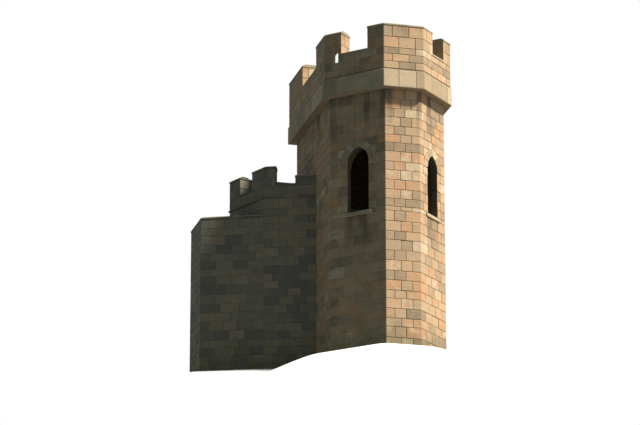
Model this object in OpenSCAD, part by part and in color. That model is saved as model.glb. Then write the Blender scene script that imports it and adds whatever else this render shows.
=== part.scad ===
// A small sandstone castle keep: a battlemented tower with a canted front,
// a lower turret on its left flank and a plain low wall beyond the turret.
// Millimetres, +Z up. The origin is the centre of the tower's plan, on the ground.

/* [Tower plan] */
// Width of the tower shaft across its two flanks
tower_w = 3250; // [2800:50:4200]
// Depth of the tower shaft from the front face to the back face
tower_d = 5120; // [4400:50:6400]
// How far the left cant cuts back along both of its neighbours
cant_left = 1250; // [900:10:1400]
// How far the right cant cuts back along both of its neighbours
cant_right = 1000; // [800:10:1200]
// Thickness of the shaft walls above the upper floor
wall_t = 500; // [380:10:600]
// Width of the ledge on which the floor joists lie, added to the wall below
ledge_w = 100; // [60:5:150]

/* [Tower heights] */
// Top of the shaft and underside of the projecting band
shaft_h = 7540; // [7000:10:8400]
// Height of the projecting band
band_h = 550; // [350:10:700]
// Height from the top of the band to the sill of a crenel
breast_h = 730; // [600:10:900]
// Height of a merlon above the sill of a crenel, with its coping
merlon_h = 660; // [500:10:900]

/* [Parapet] */
// How far the parapet stands out from the shaft
parapet_out = 190; // [120:5:260]
// How far the band stands out from the parapet wall above it
band_out = 35; // [15:5:60]
// Distance from the face of the shaft to the inner face of the parapet
parapet_in = 260; // [200:10:320]
// Thickness of the copings on merlons and crenels
coping_t = 100; // [60:5:140]
// Overhang of the copings on the merlons and the low wall
coping_over = 25; // [10:5:50]
// Height of the upright edge of these copings
coping_edge_h = 50; // [30:5:60]
// Width of the sloping edges on top of these copings
coping_slope = 90; // [40:5:130]
// Height of the upright outer edge of a crenel coping
crenel_edge_h = 60; // [30:5:60]
// Width of the slope on top of a crenel coping
crenel_slope = 150; // [80:5:200]
// Width of the open joint between two coping stones in a mitre
mitre_joint = 8; // [4:1:15]

/* [Battlements] */
// Reach of the front merlon past each corner of the front face
front_merlon_reach = 520; // [300:10:560]
// Width of the crenel in the left cant
left_crenel_w = 870; // [600:10:1000]
// Width of the crenel in the right cant
right_crenel_w = 660; // [500:10:750]
// Reach of the front corner merlons along the flanks
flank_merlon_reach = 960; // [600:10:1200]
// Width of the crenel in each flank
flank_crenel_w = 1600; // [1000:10:1900]
// Reach of the back corner merlons along the back
back_merlon_reach = 700; // [500:10:900]
// Width of each crenel in the back
back_crenel_w = 780; // [600:10:900]
// Width of the loophole under the left front merlon
loophole_w = 130; // [80:5:200]
// Height of the loophole
loophole_h = 290; // [200:10:400]
// Distance of the loophole from the front left corner of the parapet
loophole_at = 370; // [300:10:450]
// How far the loophole's right jamb splays towards the roof
loophole_splay = 95; // [50:5:250]
// Slant of the loophole's left jamb, in degrees
loophole_rake = 27.5; // [20:0.5:30]
// How much the loophole's head rises towards the roof
loophole_rise = 180; // [100:10:220]

/* [Lancets] */
// Height of the lancet sills above the ground
lancet_sill_z = 4070; // [3800:10:4600]
// Width of the lancet in the left cant
left_lancet_w = 680; // [450:10:760]
// Height of the lancet in the left cant, from its sill to the point
left_lancet_h = 1890; // [1500:10:2200]
// Width of the lancet in the right cant
right_lancet_w = 560; // [400:10:640]
// Height of the lancet in the right cant
right_lancet_h = 1750; // [1500:10:2100]
// Width of the lancet in the back wall
back_lancet_w = 560; // [400:10:640]
// Height of the lancet in the back wall
back_lancet_h = 1300; // [1100:10:1900]
// Rise of a lancet's pointed head
lancet_rise = 420; // [390:10:600]
// Thickness of the stone sill under a lancet
sill_t = 120; // [80:5:160]
// How far a lancet sill stands out from the wall
sill_out = 45; // [20:5:70]
// How far a lancet sill reaches past each jamb
sill_reach = 90; // [50:5:140]
// Depth of the narrow part of a lancet, from the outside
reveal_d = 180; // [120:10:240]
// How far each jamb of a lancet splays inside the wall
splay = 190; // [100:10:220]
// How much higher the splayed arch stands than the light outside it
splay_rise = 95; // [40:5:120]

/* [Doorway] */
// Width of the doorway in the back wall
door_w = 1000; // [800:10:1200]
// Height of the doorway to the crown of its arch
door_h = 2250; // [2050:10:2500]
// Width of the dressed stones round the doorway
surround_w = 220; // [150:10:300]
// How far the dressed stones stand out from the wall
surround_out = 30; // [15:5:60]
// Width of the passage from the tower into the turret
passage_w = 750; // [650:10:850]
// Height of the passage to the crown of its arch
passage_h = 2000; // [1850:10:2150]

/* [Floors and roof] */
// Thickness of the ground floor
ground_floor_t = 150; // [100:10:250]
// Top of the ledge that carries the joists
ledge_z = 2950; // [2700:10:3100]
// Width of a joist or roof beam
joist_w = 140; // [100:10:200]
// Depth of a joist or roof beam
joist_d = 200; // [150:10:240]
// Largest distance between two joists or roof beams
joist_pitch = 620; // [450:10:800]
// Thickness of the upper floor boards
board_t = 40; // [25:5:60]
// Thickness of the roof deck
deck_t = 180; // [120:10:220]

/* [Turret] */
// Distance of the turret from the front corner of the tower's left flank
turret_setback = 1600; // [1300:10:1800]
// Width of the turret's front face
turret_front_w = 1515; // [1200:5:1800]
// Width of the turret's side face
turret_side_w = 1680; // [1400:10:1800]
// Angle of the turret's front face to the front of the tower
turret_turn = 22.5; // [15:0.5:30]
// Thickness of the turret walls below the turret's deck
turret_wall_t = 380; // [340:10:450]
// Thickness of the turret's parapet and merlons
turret_parapet_t = 300; // [220:10:320]
// Top of the turret's string course
turret_string_z = 5250; // [4900:10:5600]
// Height of the turret's string course
turret_string_h = 110; // [60:10:160]
// How far the turret's string course stands out
turret_string_out = 35; // [15:5:60]
// Height of the upright edge of the turret's string course
turret_string_edge_h = 30; // [15:5:50]
// Height of the turret's crenel sills above its string course
turret_breast_h = 370; // [300:10:600]
// Height of the turret's merlons above the crenel sills, with their copings
turret_merlon_h = 530; // [400:10:700]
// Height of the half merlon beside the tower, with its coping
turret_stub_h = 230; // [150:10:300]
// Reach of the turret's corner merlon along its front face
turret_corner_front = 310; // [200:10:400]
// Reach of the turret's corner merlon along its side face
turret_corner_side = 580; // [400:10:640]
// Width of the crenels of the turret
turret_crenel_w = 600; // [450:10:650]

/* [Low wall] */
// Length of the low wall from the turret to its corner
low_wall_l = 1820; // [1200:10:2600]
// Length of the low wall's return
low_return_l = 1300; // [900:10:2000]
// Height of the low wall with its coping
low_wall_h = 4700; // [4000:10:4900]
// Thickness of the low wall
low_wall_t = 450; // [350:10:500]

/* [Hidden] */
$fn = 64;
// How far a cutter reaches past the face that it cuts
past = 20;
tower_stone = [0.74, 0.64, 0.50];
dressed_stone = [0.80, 0.71, 0.57];
wall_stone = [0.66, 0.60, 0.49];
oak = [0.42, 0.32, 0.22];
lead_grey = [0.45, 0.46, 0.47];

sill_z = shaft_h + band_h + breast_h;
tower_h = sill_z + merlon_h;
seat_z = sill_z - coping_t;
deck_z = shaft_h + joist_d;
joist_z = ledge_z + joist_d;
lower_t = wall_t + ledge_w;
turret_sill_z = turret_string_z + turret_breast_h;
turret_seat_z = turret_sill_z - coping_t;
turret_deck_z = turret_string_z - turret_string_h;
turret_ledge_z = turret_deck_z - deck_t;
turret_top_z = turret_sill_z + turret_merlon_h;

// The tower's plan, counter-clockwise from its back left corner, one wall to each side
LEFT = 0;
FRONT_LEFT = 1;
FRONT = 2;
FRONT_RIGHT = 3;
RIGHT = 4;
BACK = 5;
SHAFT = [
    [-tower_w / 2, tower_d / 2],
    [-tower_w / 2, cant_left - tower_d / 2],
    [cant_left - tower_w / 2, -tower_d / 2],
    [tower_w / 2 - cant_right, -tower_d / 2],
    [tower_w / 2, cant_right - tower_d / 2],
    [tower_w / 2, tower_d / 2],
];

// The outline of the parapet, above its band
WALK = inset(SHAFT, -parapet_out);
parapet_t = parapet_out + parapet_in;

// The turret's plan, counter-clockwise from its back left corner
TURRET_SIDE = 0;
TURRET_FRONT = 1;
TURRET_INNER = 2;
TURRET_BACK = 3;
turret_root = [-tower_w / 2, SHAFT[1].y + turret_setback];
turret_corner = turret_root + turret_front_w * [-cos(turret_turn), sin(turret_turn)];
turret_end = turret_corner + turret_side_w * [-sin(turret_turn), cos(turret_turn)];
TURRET = [turret_end, turret_corner, turret_root, [-tower_w / 2, turret_end.y]];
turret_back_w = side_length(TURRET, TURRET_BACK);
// How far the back merlon reaches from the tower, and where the half merlon begins on the front
turret_back_reach = turret_back_w - turret_corner_side - turret_crenel_w;
turret_stub_from = turret_corner_front + turret_crenel_w;
// Middle of the passage, from the front of the turret along the tower's flank
passage_at = (side_length(TURRET, TURRET_INNER) + turret_wall_t) / 2;

// The low wall's outer line, with its corner as the second point
low_corner = turret_corner + low_wall_l * [-cos(turret_turn), sin(turret_turn)];
low_end = low_corner + [0, low_return_l];
LOW = [low_end, low_corner, turret_corner, turret_end];
LOW_RETURN = 0;
LOW_FRONT = 1;
low_seat_z = low_wall_h - coping_t;

// Plan geometry: a plan is a counter-clockwise list of corners, so left of each side is inwards
function unit(v) = v / norm(v);
function left_of(v) = [-v.y, v.x];
function corner(plan, i) = plan[(i + len(plan)) % len(plan)];
function side(plan, i) = unit(corner(plan, i + 1) - corner(plan, i));
function side_length(plan, i) = norm(corner(plan, i + 1) - corner(plan, i));
function inset_corner(plan, i, depth) =
    let (before = side(plan, i - 1), after = side(plan, i))
    corner(plan, i) + (left_of(before) + left_of(after)) * depth / (1 + before * after);
function inset(plan, depth) = [for (i = [0 : len(plan) - 1]) inset_corner(plan, i, depth)];

// A point beside side i: so far along it from its first corner, and so far inwards
function beside(plan, i, along, inwards) =
    corner(plan, i) + side(plan, i) * along + left_of(side(plan, i)) * inwards;

// The outline of a strip of wall along a run round the corners of a plan. A run goes from one
// point to another, each as [side, distance along it].
function strip(plan, run, thickness) = concat(
    [beside(plan, run[0][0], run[0][1], 0)],
    [for (i = [run[0][0] + 1 : 1 : run[1][0]]) corner(plan, i)],
    [beside(plan, run[1][0], run[1][1], 0)],
    [beside(plan, run[1][0], run[1][1], thickness)],
    [for (i = [run[1][0] : -1 : run[0][0] + 1]) inset_corner(plan, i, thickness)],
    [beside(plan, run[0][0], run[0][1], thickness)]
);

// The outline of the wall on side i, mitred at both corners
function mitred(plan, i, near, far) = [
    inset_corner(plan, i, near),
    inset_corner(plan, i + 1, near),
    inset_corner(plan, i + 1, far),
    inset_corner(plan, i, far),
];

module slab(outline, low, high) {
    translate([0, 0, low]) linear_extrude(high - low) polygon(outline);
}

// All that lies on side i between the open joints in the mitres at its two corners
module between_joints(plan, i, near, far) {
    open = side(plan, i) * mitre_joint / 2;
    ends = mitred(plan, i, near, far);
    slab([ends[0] + open, ends[1] - open, ends[2] - open, ends[3] + open], 0, tower_h + past);
}

// Puts its children on side i: X along the side, Y inwards, Z up
module on_side(plan, i) {
    start = corner(plan, i);
    way = side(plan, i);
    translate([start.x, start.y, 0]) rotate([0, 0, atan2(way.y, way.x)]) children();
}

// Openings

// A pointed or round head: two arcs that meet above the middle, over straight jambs
module arch_outline(width, height, rise) {
    radius = (width * width / 4 + rise * rise) / width;
    spring = height - rise;
    translate([-width / 2, 0]) square([width, spring]);
    intersection() {
        translate([radius - width / 2, spring]) circle(radius);
        translate([width / 2 - radius, spring]) circle(radius);
        translate([-width / 2, spring - past]) square([width, rise + 2 * past]);
    }
}

module arch_cut(width, height, rise, from, to) {
    translate([0, to, 0]) rotate([90, 0, 0]) linear_extrude(to - from)
        arch_outline(width, height, rise);
}

// A lancet: a narrow light outside, and jambs that splay towards the room under a wider arch
module lancet_cut(width, height) {
    arch_cut(width, height, lancet_rise, -past, wall_t + past);
    intersection() {
        arch_cut(width + 2 * splay, height + splay_rise, lancet_rise + splay_rise, reveal_d, wall_t + past);
        linear_extrude(height + splay_rise + past) polygon([
            [-width / 2, reveal_d],
            [width / 2, reveal_d],
            [width / 2 + splay, wall_t],
            [width / 2 + splay, wall_t + past],
            [-width / 2 - splay, wall_t + past],
            [-width / 2 - splay, wall_t],
        ]);
    }
}

module lancet_in(i, width, height) {
    on_side(SHAFT, i) translate([side_length(SHAFT, i) / 2, 0, lancet_sill_z])
        lancet_cut(width, height);
}

// The tower's shaft
module shaft_wall(i) {
    slab(mitred(SHAFT, i, 0, lower_t), 0, ledge_z);
    slab(mitred(SHAFT, i, 0, wall_t), ledge_z, shaft_h);
}

module front_wall() {
    color(tower_stone) shaft_wall(FRONT);
}

module front_left_wall() {
    color(tower_stone) difference() {
        shaft_wall(FRONT_LEFT);
        lancet_in(FRONT_LEFT, left_lancet_w, left_lancet_h);
        sill_bed(FRONT_LEFT, left_lancet_w);
    }
}

module front_right_wall() {
    color(tower_stone) difference() {
        shaft_wall(FRONT_RIGHT);
        lancet_in(FRONT_RIGHT, right_lancet_w, right_lancet_h);
        sill_bed(FRONT_RIGHT, right_lancet_w);
    }
}

module left_wall() {
    color(tower_stone) difference() {
        shaft_wall(LEFT);
        on_side(TURRET, TURRET_INNER)
            translate([passage_at, 0, ground_floor_t])
            arch_cut(passage_w, passage_h, passage_w / 2, -lower_t - past, past);
    }
}

module right_wall() {
    color(tower_stone) shaft_wall(RIGHT);
}

module back_wall() {
    color(tower_stone) difference() {
        shaft_wall(BACK);
        lancet_in(BACK, back_lancet_w, back_lancet_h);
        sill_bed(BACK, back_lancet_w);
        on_side(SHAFT, BACK) translate([tower_w / 2, 0, ground_floor_t]) {
            arch_cut(door_w, door_h, door_w / 2, -past, lower_t + past);
            surround_cut();
        }
        on_side(SHAFT, BACK) translate([tower_w / 2 - door_w / 2, -past, 0])
            cube([door_w, lower_t + 2 * past, ground_floor_t + past]);
    }
}

// Dressed stones at the openings
module sill_bed(i, width) {
    on_side(SHAFT, i)
        translate([side_length(SHAFT, i) / 2 - width / 2 - sill_reach, -past, lancet_sill_z - sill_t])
        cube([width + 2 * sill_reach, reveal_d + past, sill_t]);
}

module lancet_sill(i, width) {
    on_side(SHAFT, i)
        translate([side_length(SHAFT, i) / 2 - width / 2 - sill_reach, 0, lancet_sill_z - sill_t])
        rotate([90, 0, 90]) linear_extrude(width + 2 * sill_reach) polygon([
            [-sill_out, 0],
            [reveal_d, 0],
            [reveal_d, sill_t],
            [0, sill_t],
            [-sill_out, sill_t - sill_out],
        ]);
}

module lancet_sills() {
    color(dressed_stone) {
        lancet_sill(FRONT_LEFT, left_lancet_w);
        lancet_sill(FRONT_RIGHT, right_lancet_w);
        lancet_sill(BACK, back_lancet_w);
    }
}

module surround_cut() {
    arch_cut(door_w + 2 * surround_w, door_h + surround_w, door_w / 2 + surround_w, -past, reveal_d);
}

module doorway_surround() {
    color(dressed_stone) on_side(SHAFT, BACK) translate([tower_w / 2, 0, ground_floor_t]) difference() {
        arch_cut(door_w + 2 * surround_w, door_h + surround_w, door_w / 2 + surround_w,
            -surround_out, reveal_d);
        arch_cut(door_w, door_h, door_w / 2, -surround_out - past, reveal_d + past);
    }
}

module doorstep() {
    color(dressed_stone) on_side(SHAFT, BACK) translate([tower_w / 2 - door_w / 2, -surround_out, 0])
        cube([door_w, lower_t + surround_out, ground_floor_t]);
}

// Floors and roof
module bearers(low, reach) {
    span = tower_d - 2 * reach;
    count = ceil(span / joist_pitch);
    pitch = (span - joist_w) / count;
    intersection() {
        slab(inset(SHAFT, reach), low, low + joist_d);
        for (k = [0 : count])
            translate([-tower_w / 2, reach - tower_d / 2 + k * pitch, low])
                cube([tower_w, joist_w, joist_d]);
    }
}

module ground_floor() {
    color(wall_stone) slab(inset(SHAFT, lower_t), 0, ground_floor_t);
}

module floor_joists() {
    color(oak) bearers(ledge_z, wall_t);
}

module upper_floor() {
    color(oak) slab(inset(SHAFT, wall_t), joist_z, joist_z + board_t);
}

module roof_beams() {
    color(oak) bearers(shaft_h, parapet_in);
}

module roof_deck() {
    color(lead_grey) slab(inset(SHAFT, parapet_in), deck_z, deck_z + deck_t);
}

// The parapet: a square-edged band with a sloping top, and the breast wall on it
module parapet(i) {
    band_face = -parapet_out - band_out;
    breast_z = shaft_h + band_h;
    intersection() {
        slab(mitred(SHAFT, i, 2 * band_face, parapet_in), shaft_h - past, seat_z + past);
        on_side(SHAFT, i) translate([2 * band_face, 0, 0]) rotate([90, 0, 90])
            linear_extrude(side_length(SHAFT, i) - 4 * band_face) polygon([
                [band_face, shaft_h],
                [parapet_in, shaft_h],
                [parapet_in, seat_z],
                [-parapet_out, seat_z],
                [-parapet_out, breast_z],
                [band_face, breast_z - band_out],
            ]);
    }
}

module front_parapet() {
    color(dressed_stone) parapet(FRONT);
}

// The loophole rises from the parapet into the merlon on it. It looks along the wall, so its
// left jamb slants through the corner of the parapet, and its head rises with the line of sight.
module loophole_cut() {
    far = 2 * parapet_t;
    on_side(WALK, FRONT_LEFT) translate([loophole_at, 0, sill_z - loophole_h]) intersection() {
        linear_extrude(loophole_h + 2 * loophole_rise + past) polygon([
            [-loophole_w / 2, -past],
            [loophole_w / 2, -past],
            [loophole_w / 2, 0],
            [loophole_w / 2 + loophole_splay, parapet_t],
            [loophole_w / 2 + loophole_splay, parapet_t + past],
            [-loophole_w / 2 - far * tan(loophole_rake), far],
            [-loophole_w / 2, 0],
        ]);
        translate([-far, 0, 0]) rotate([90, 0, 90]) linear_extrude(2 * far) polygon([
            [-past, 0],
            [far, 0],
            [far, loophole_h + 2 * loophole_rise],
            [0, loophole_h],
            [-past, loophole_h],
        ]);
    }
}

module front_left_parapet() {
    color(dressed_stone) difference() {
        parapet(FRONT_LEFT);
        loophole_cut();
    }
}

module front_right_parapet() {
    color(dressed_stone) parapet(FRONT_RIGHT);
}

module left_parapet() {
    color(dressed_stone) difference() {
        parapet(LEFT);
        loophole_cut();
    }
}

module right_parapet() {
    color(dressed_stone) parapet(RIGHT);
}

module back_parapet() {
    color(dressed_stone) parapet(BACK);
}

// Battlements: each merlon runs from one point of the parapet's outline to another
function walk_length(i) = side_length(WALK, i);

function front_left_start() = walk_length(FRONT_LEFT) - front_merlon_reach - left_crenel_w;
function front_right_end() = front_merlon_reach + right_crenel_w;

FRONT_RUN = [[FRONT_LEFT, walk_length(FRONT_LEFT) - front_merlon_reach],
    [FRONT_RIGHT, front_merlon_reach]];
LEFT_FRONT_RUN = [[LEFT, walk_length(LEFT) - flank_merlon_reach], [FRONT_LEFT, front_left_start()]];
RIGHT_FRONT_RUN = [[FRONT_RIGHT, front_right_end()], [RIGHT, flank_merlon_reach]];
RIGHT_BACK_RUN = [[RIGHT, flank_merlon_reach + flank_crenel_w], [BACK, back_merlon_reach]];
LEFT_BACK_RUN = [[BACK, walk_length(BACK) - back_merlon_reach],
    [BACK + 1, walk_length(LEFT) - flank_merlon_reach - flank_crenel_w]];
BACK_RUN = [[BACK, back_merlon_reach + back_crenel_w],
    [BACK, walk_length(BACK) - back_merlon_reach - back_crenel_w]];
MERLON_RUNS = [FRONT_RUN, LEFT_FRONT_RUN, RIGHT_FRONT_RUN, RIGHT_BACK_RUN, LEFT_BACK_RUN, BACK_RUN];

module tower_merlon(run) {
    slab(strip(WALK, run, parapet_t), seat_z, tower_h - coping_t);
}

// A coping overhangs its wall on every side, and its top slopes to both faces of the wall.
module coping_stone(plan, i, from, to, thickness, top) {
    on_side(plan, i) translate([from, 0, 0]) rotate([90, 0, 90]) linear_extrude(to - from) polygon([
        [-coping_over, top - coping_t],
        [thickness + coping_over, top - coping_t],
        [thickness + coping_over, top - coping_t + coping_edge_h],
        [thickness + coping_over - coping_slope, top],
        [coping_slope - coping_over, top],
        [-coping_over, top - coping_t + coping_edge_h],
    ]);
}

// One coping stone on each side that the run touches
module coping(plan, run, thickness, top) {
    reach = thickness + 2 * coping_over;
    for (i = [run[0][0] : run[1][0]])
        intersection() {
            between_joints(plan, i, -reach, reach);
            coping_stone(plan, i,
                i == run[0][0] ? run[0][1] - coping_over : -reach,
                i == run[1][0] ? run[1][1] + coping_over : side_length(plan, i) + reach,
                thickness, top);
        }
}

module front_merlon() {
    color(tower_stone) tower_merlon(FRONT_RUN);
}

module left_front_merlon() {
    color(tower_stone) difference() {
        tower_merlon(LEFT_FRONT_RUN);
        loophole_cut();
    }
}

module right_front_merlon() {
    color(tower_stone) tower_merlon(RIGHT_FRONT_RUN);
}

module left_back_merlon() {
    color(tower_stone) tower_merlon(LEFT_BACK_RUN);
}

module right_back_merlon() {
    color(tower_stone) tower_merlon(RIGHT_BACK_RUN);
}

module back_merlon() {
    color(tower_stone) tower_merlon(BACK_RUN);
}

module merlon_copings() {
    color(dressed_stone) for (run = MERLON_RUNS)
        coping(WALK, run, parapet_t, tower_h);
}

// The stone that covers the parapet between two merlons, with a slope to the outside
module crenel_coping(plan, i, from, width, thickness, top) {
    on_side(plan, i) translate([from, 0, top - coping_t]) rotate([90, 0, 90]) linear_extrude(width)
        polygon([
            [-coping_over, 0],
            [thickness, 0],
            [thickness, coping_t],
            [crenel_slope - coping_over, coping_t],
            [-coping_over, crenel_edge_h],
        ]);
}

module tower_crenel(i, from, width) {
    crenel_coping(WALK, i, from, width, parapet_t, sill_z);
}

module crenel_copings() {
    color(dressed_stone) {
        tower_crenel(FRONT_LEFT, front_left_start(), left_crenel_w);
        tower_crenel(FRONT_RIGHT, front_merlon_reach, right_crenel_w);
        tower_crenel(LEFT, walk_length(LEFT) - flank_merlon_reach - flank_crenel_w, flank_crenel_w);
        tower_crenel(RIGHT, flank_merlon_reach, flank_crenel_w);
        tower_crenel(BACK, back_merlon_reach, back_crenel_w);
        tower_crenel(BACK, walk_length(BACK) - back_merlon_reach - back_crenel_w, back_crenel_w);
    }
}

// The turret on the left flank: three walls that end against the tower, thinner above the deck

// Where a line so far inside the turret's front meets the tower's flank
function turret_front_root(depth) = TURRET[2] + [0, depth / cos(turret_turn)];

function turret_front_outline(thickness) = [
    TURRET[1],
    TURRET[2],
    turret_front_root(thickness),
    inset_corner(TURRET, 1, thickness),
];

function turret_back_outline(thickness) = [
    TURRET[3],
    TURRET[0],
    inset_corner(TURRET, 0, thickness),
    TURRET[3] - [0, thickness],
];

function turret_inside(thickness) = [
    inset_corner(TURRET, 0, thickness),
    inset_corner(TURRET, 1, thickness),
    turret_front_root(thickness),
    TURRET[3] - [0, thickness],
];

module turret_front_wall() {
    color(wall_stone) {
        slab(turret_front_outline(turret_wall_t), 0, turret_ledge_z);
        slab(turret_front_outline(turret_parapet_t), turret_ledge_z, turret_seat_z);
    }
}

module turret_side_wall() {
    color(wall_stone) {
        slab(mitred(TURRET, TURRET_SIDE, 0, turret_wall_t), 0, turret_ledge_z);
        slab(mitred(TURRET, TURRET_SIDE, 0, turret_parapet_t), turret_ledge_z, turret_seat_z);
    }
}

module turret_back_wall() {
    color(wall_stone) {
        slab(turret_back_outline(turret_wall_t), 0, turret_ledge_z);
        slab(turret_back_outline(turret_parapet_t), turret_ledge_z, turret_seat_z);
    }
}

module turret_floor() {
    color(wall_stone) slab(turret_inside(turret_wall_t), 0, ground_floor_t);
}

// The deck lies on the ledge where the walls become thinner
module turret_deck() {
    color(wall_stone) slab(turret_inside(turret_parapet_t), turret_ledge_z, turret_deck_z);
}

// The string course: one moulding along each outer face, mitred at the corners
module string_moulding(i) {
    reach = 2 * turret_string_out;
    intersection() {
        between_joints(TURRET, i, -reach, 0);
        on_side(TURRET, i) translate([-reach, 0, turret_string_z - turret_string_h]) rotate([90, 0, 90])
            linear_extrude(side_length(TURRET, i) + 2 * reach) polygon([
                [0, 0],
                [0, turret_string_h],
                [-turret_string_out, (turret_string_h + turret_string_edge_h) / 2],
                [-turret_string_out, (turret_string_h - turret_string_edge_h) / 2],
            ]);
    }
}

module turret_string() {
    color(dressed_stone) difference() {
        union() {
            string_moulding(TURRET_FRONT);
            string_moulding(TURRET_SIDE);
            string_moulding(TURRET_BACK);
        }
        tower_block();
        slab(low_front_outline(), 0, low_wall_h);
    }
}

TURRET_CORNER_RUN = [[TURRET_SIDE, turret_side_w - turret_corner_side], [TURRET_FRONT, turret_corner_front]];
TURRET_SIDE_RUN = [[TURRET_BACK, turret_back_w - turret_corner_side],
    [TURRET_BACK + 1, turret_side_w - turret_corner_side - turret_crenel_w]];

module turret_merlon(run) {
    slab(strip(TURRET, run, turret_parapet_t), turret_seat_z, turret_top_z - coping_t);
}

module turret_corner_merlon() {
    color(wall_stone) turret_merlon(TURRET_CORNER_RUN);
}

module turret_side_merlon() {
    color(wall_stone) turret_merlon(TURRET_SIDE_RUN);
}

// The back merlon and the half merlon on the front end against the tower
module turret_back_merlon() {
    color(wall_stone) slab([
        TURRET[3],
        beside(TURRET, TURRET_BACK, turret_back_reach, 0),
        beside(TURRET, TURRET_BACK, turret_back_reach, turret_parapet_t),
        TURRET[3] - [0, turret_parapet_t],
    ], turret_seat_z, turret_top_z - coping_t);
}

module turret_stub() {
    color(wall_stone) slab([
        beside(TURRET, TURRET_FRONT, turret_stub_from, 0),
        TURRET[2],
        turret_front_root(turret_parapet_t),
        beside(TURRET, TURRET_FRONT, turret_stub_from, turret_parapet_t),
    ], turret_seat_z, turret_sill_z + turret_stub_h - coping_t);
}

module turret_crenel(i, from) {
    crenel_coping(TURRET, i, from, turret_crenel_w, turret_parapet_t, turret_sill_z);
}

module tower_block() {
    slab(SHAFT, 0, tower_h);
}

module turret_copings() {
    color(dressed_stone) {
        coping(TURRET, TURRET_CORNER_RUN, turret_parapet_t, turret_top_z);
        coping(TURRET, TURRET_SIDE_RUN, turret_parapet_t, turret_top_z);
        turret_crenel(TURRET_FRONT, turret_corner_front);
        turret_crenel(TURRET_SIDE, turret_side_w - turret_corner_side - turret_crenel_w);
        turret_crenel(TURRET_BACK, turret_back_reach);
        difference() {
            coping_stone(TURRET, TURRET_FRONT, turret_stub_from - coping_over,
                turret_front_w + turret_wall_t, turret_parapet_t, turret_sill_z + turret_stub_h);
            tower_block();
        }
        difference() {
            coping_stone(TURRET, TURRET_BACK, -turret_wall_t, turret_back_reach + coping_over,
                turret_parapet_t, turret_top_z);
            tower_block();
        }
    }
}

// The low wall

// Where a line so far inside the low wall's front meets the side of the turret
function low_root(depth) = turret_corner + unit(turret_end - turret_corner) * depth / cos(2 * turret_turn);

module low_wall() {
    color(wall_stone) slab([
        low_corner,
        turret_corner,
        low_root(low_wall_t),
        inset_corner(LOW, LOW_FRONT, low_wall_t),
    ], 0, low_seat_z);
}

module low_return_wall() {
    color(wall_stone) slab([
        low_end,
        low_corner,
        inset_corner(LOW, LOW_FRONT, low_wall_t),
        low_end + [low_wall_t, 0],
    ], 0, low_seat_z);
}

// The coping of the return and the coping of the front, with an open joint in their mitre
function low_return_outline() =
    let (open = side(LOW, LOW_RETURN) * mitre_joint / 2)
    [
        beside(LOW, LOW_RETURN, -coping_over, -coping_over),
        inset_corner(LOW, LOW_FRONT, -coping_over) - open,
        inset_corner(LOW, LOW_FRONT, low_wall_t + coping_over) - open,
        beside(LOW, LOW_RETURN, -coping_over, low_wall_t + coping_over),
    ];

function low_front_outline() =
    let (open = side(LOW, LOW_FRONT) * mitre_joint / 2)
    [
        inset_corner(LOW, LOW_FRONT, -coping_over) + open,
        beside(LOW, LOW_FRONT, low_wall_l, -coping_over),
        turret_corner,
        low_root(low_wall_t + coping_over),
        inset_corner(LOW, LOW_FRONT, low_wall_t + coping_over) + open,
    ];

module low_coping(i, outline) {
    reach = low_wall_t + 2 * coping_over;
    intersection() {
        slab(outline, 0, low_wall_h + past);
        coping_stone(LOW, i, -reach, side_length(LOW, i) + reach, low_wall_t, low_wall_h);
    }
}

module low_wall_coping() {
    color(dressed_stone) {
        low_coping(LOW_RETURN, low_return_outline());
        low_coping(LOW_FRONT, low_front_outline());
    }
}

front_wall();
front_left_wall();
front_right_wall();
left_wall();
right_wall();
back_wall();
ground_floor();
floor_joists();
upper_floor();
roof_beams();
roof_deck();
front_parapet();
front_left_parapet();
front_right_parapet();
left_parapet();
right_parapet();
back_parapet();
front_merlon();
left_front_merlon();
right_front_merlon();
left_back_merlon();
right_back_merlon();
back_merlon();
merlon_copings();
crenel_copings();
lancet_sills();
doorway_surround();
doorstep();
turret_front_wall();
turret_side_wall();
turret_back_wall();
turret_floor();
turret_deck();
turret_string();
turret_corner_merlon();
turret_side_merlon();
turret_back_merlon();
turret_stub();
turret_copings();
low_wall();
low_return_wall();
low_wall_coping();
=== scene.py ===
# %% [markdown]
# # A small sandstone castle keep
# The solids of the keep are a fixed frame: walls, parapet, merlons, copings, floors and roof.
# This lesson dresses them. Every wall gets its squared stones, every coping and floor is cut
# into the slabs that a mason would lay, and each surface gets its stone, mortar or oak.

# %% Load the frame
import math
import random

import bmesh
import bpy
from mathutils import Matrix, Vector
from mathutils.kdtree import KDTree


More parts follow.
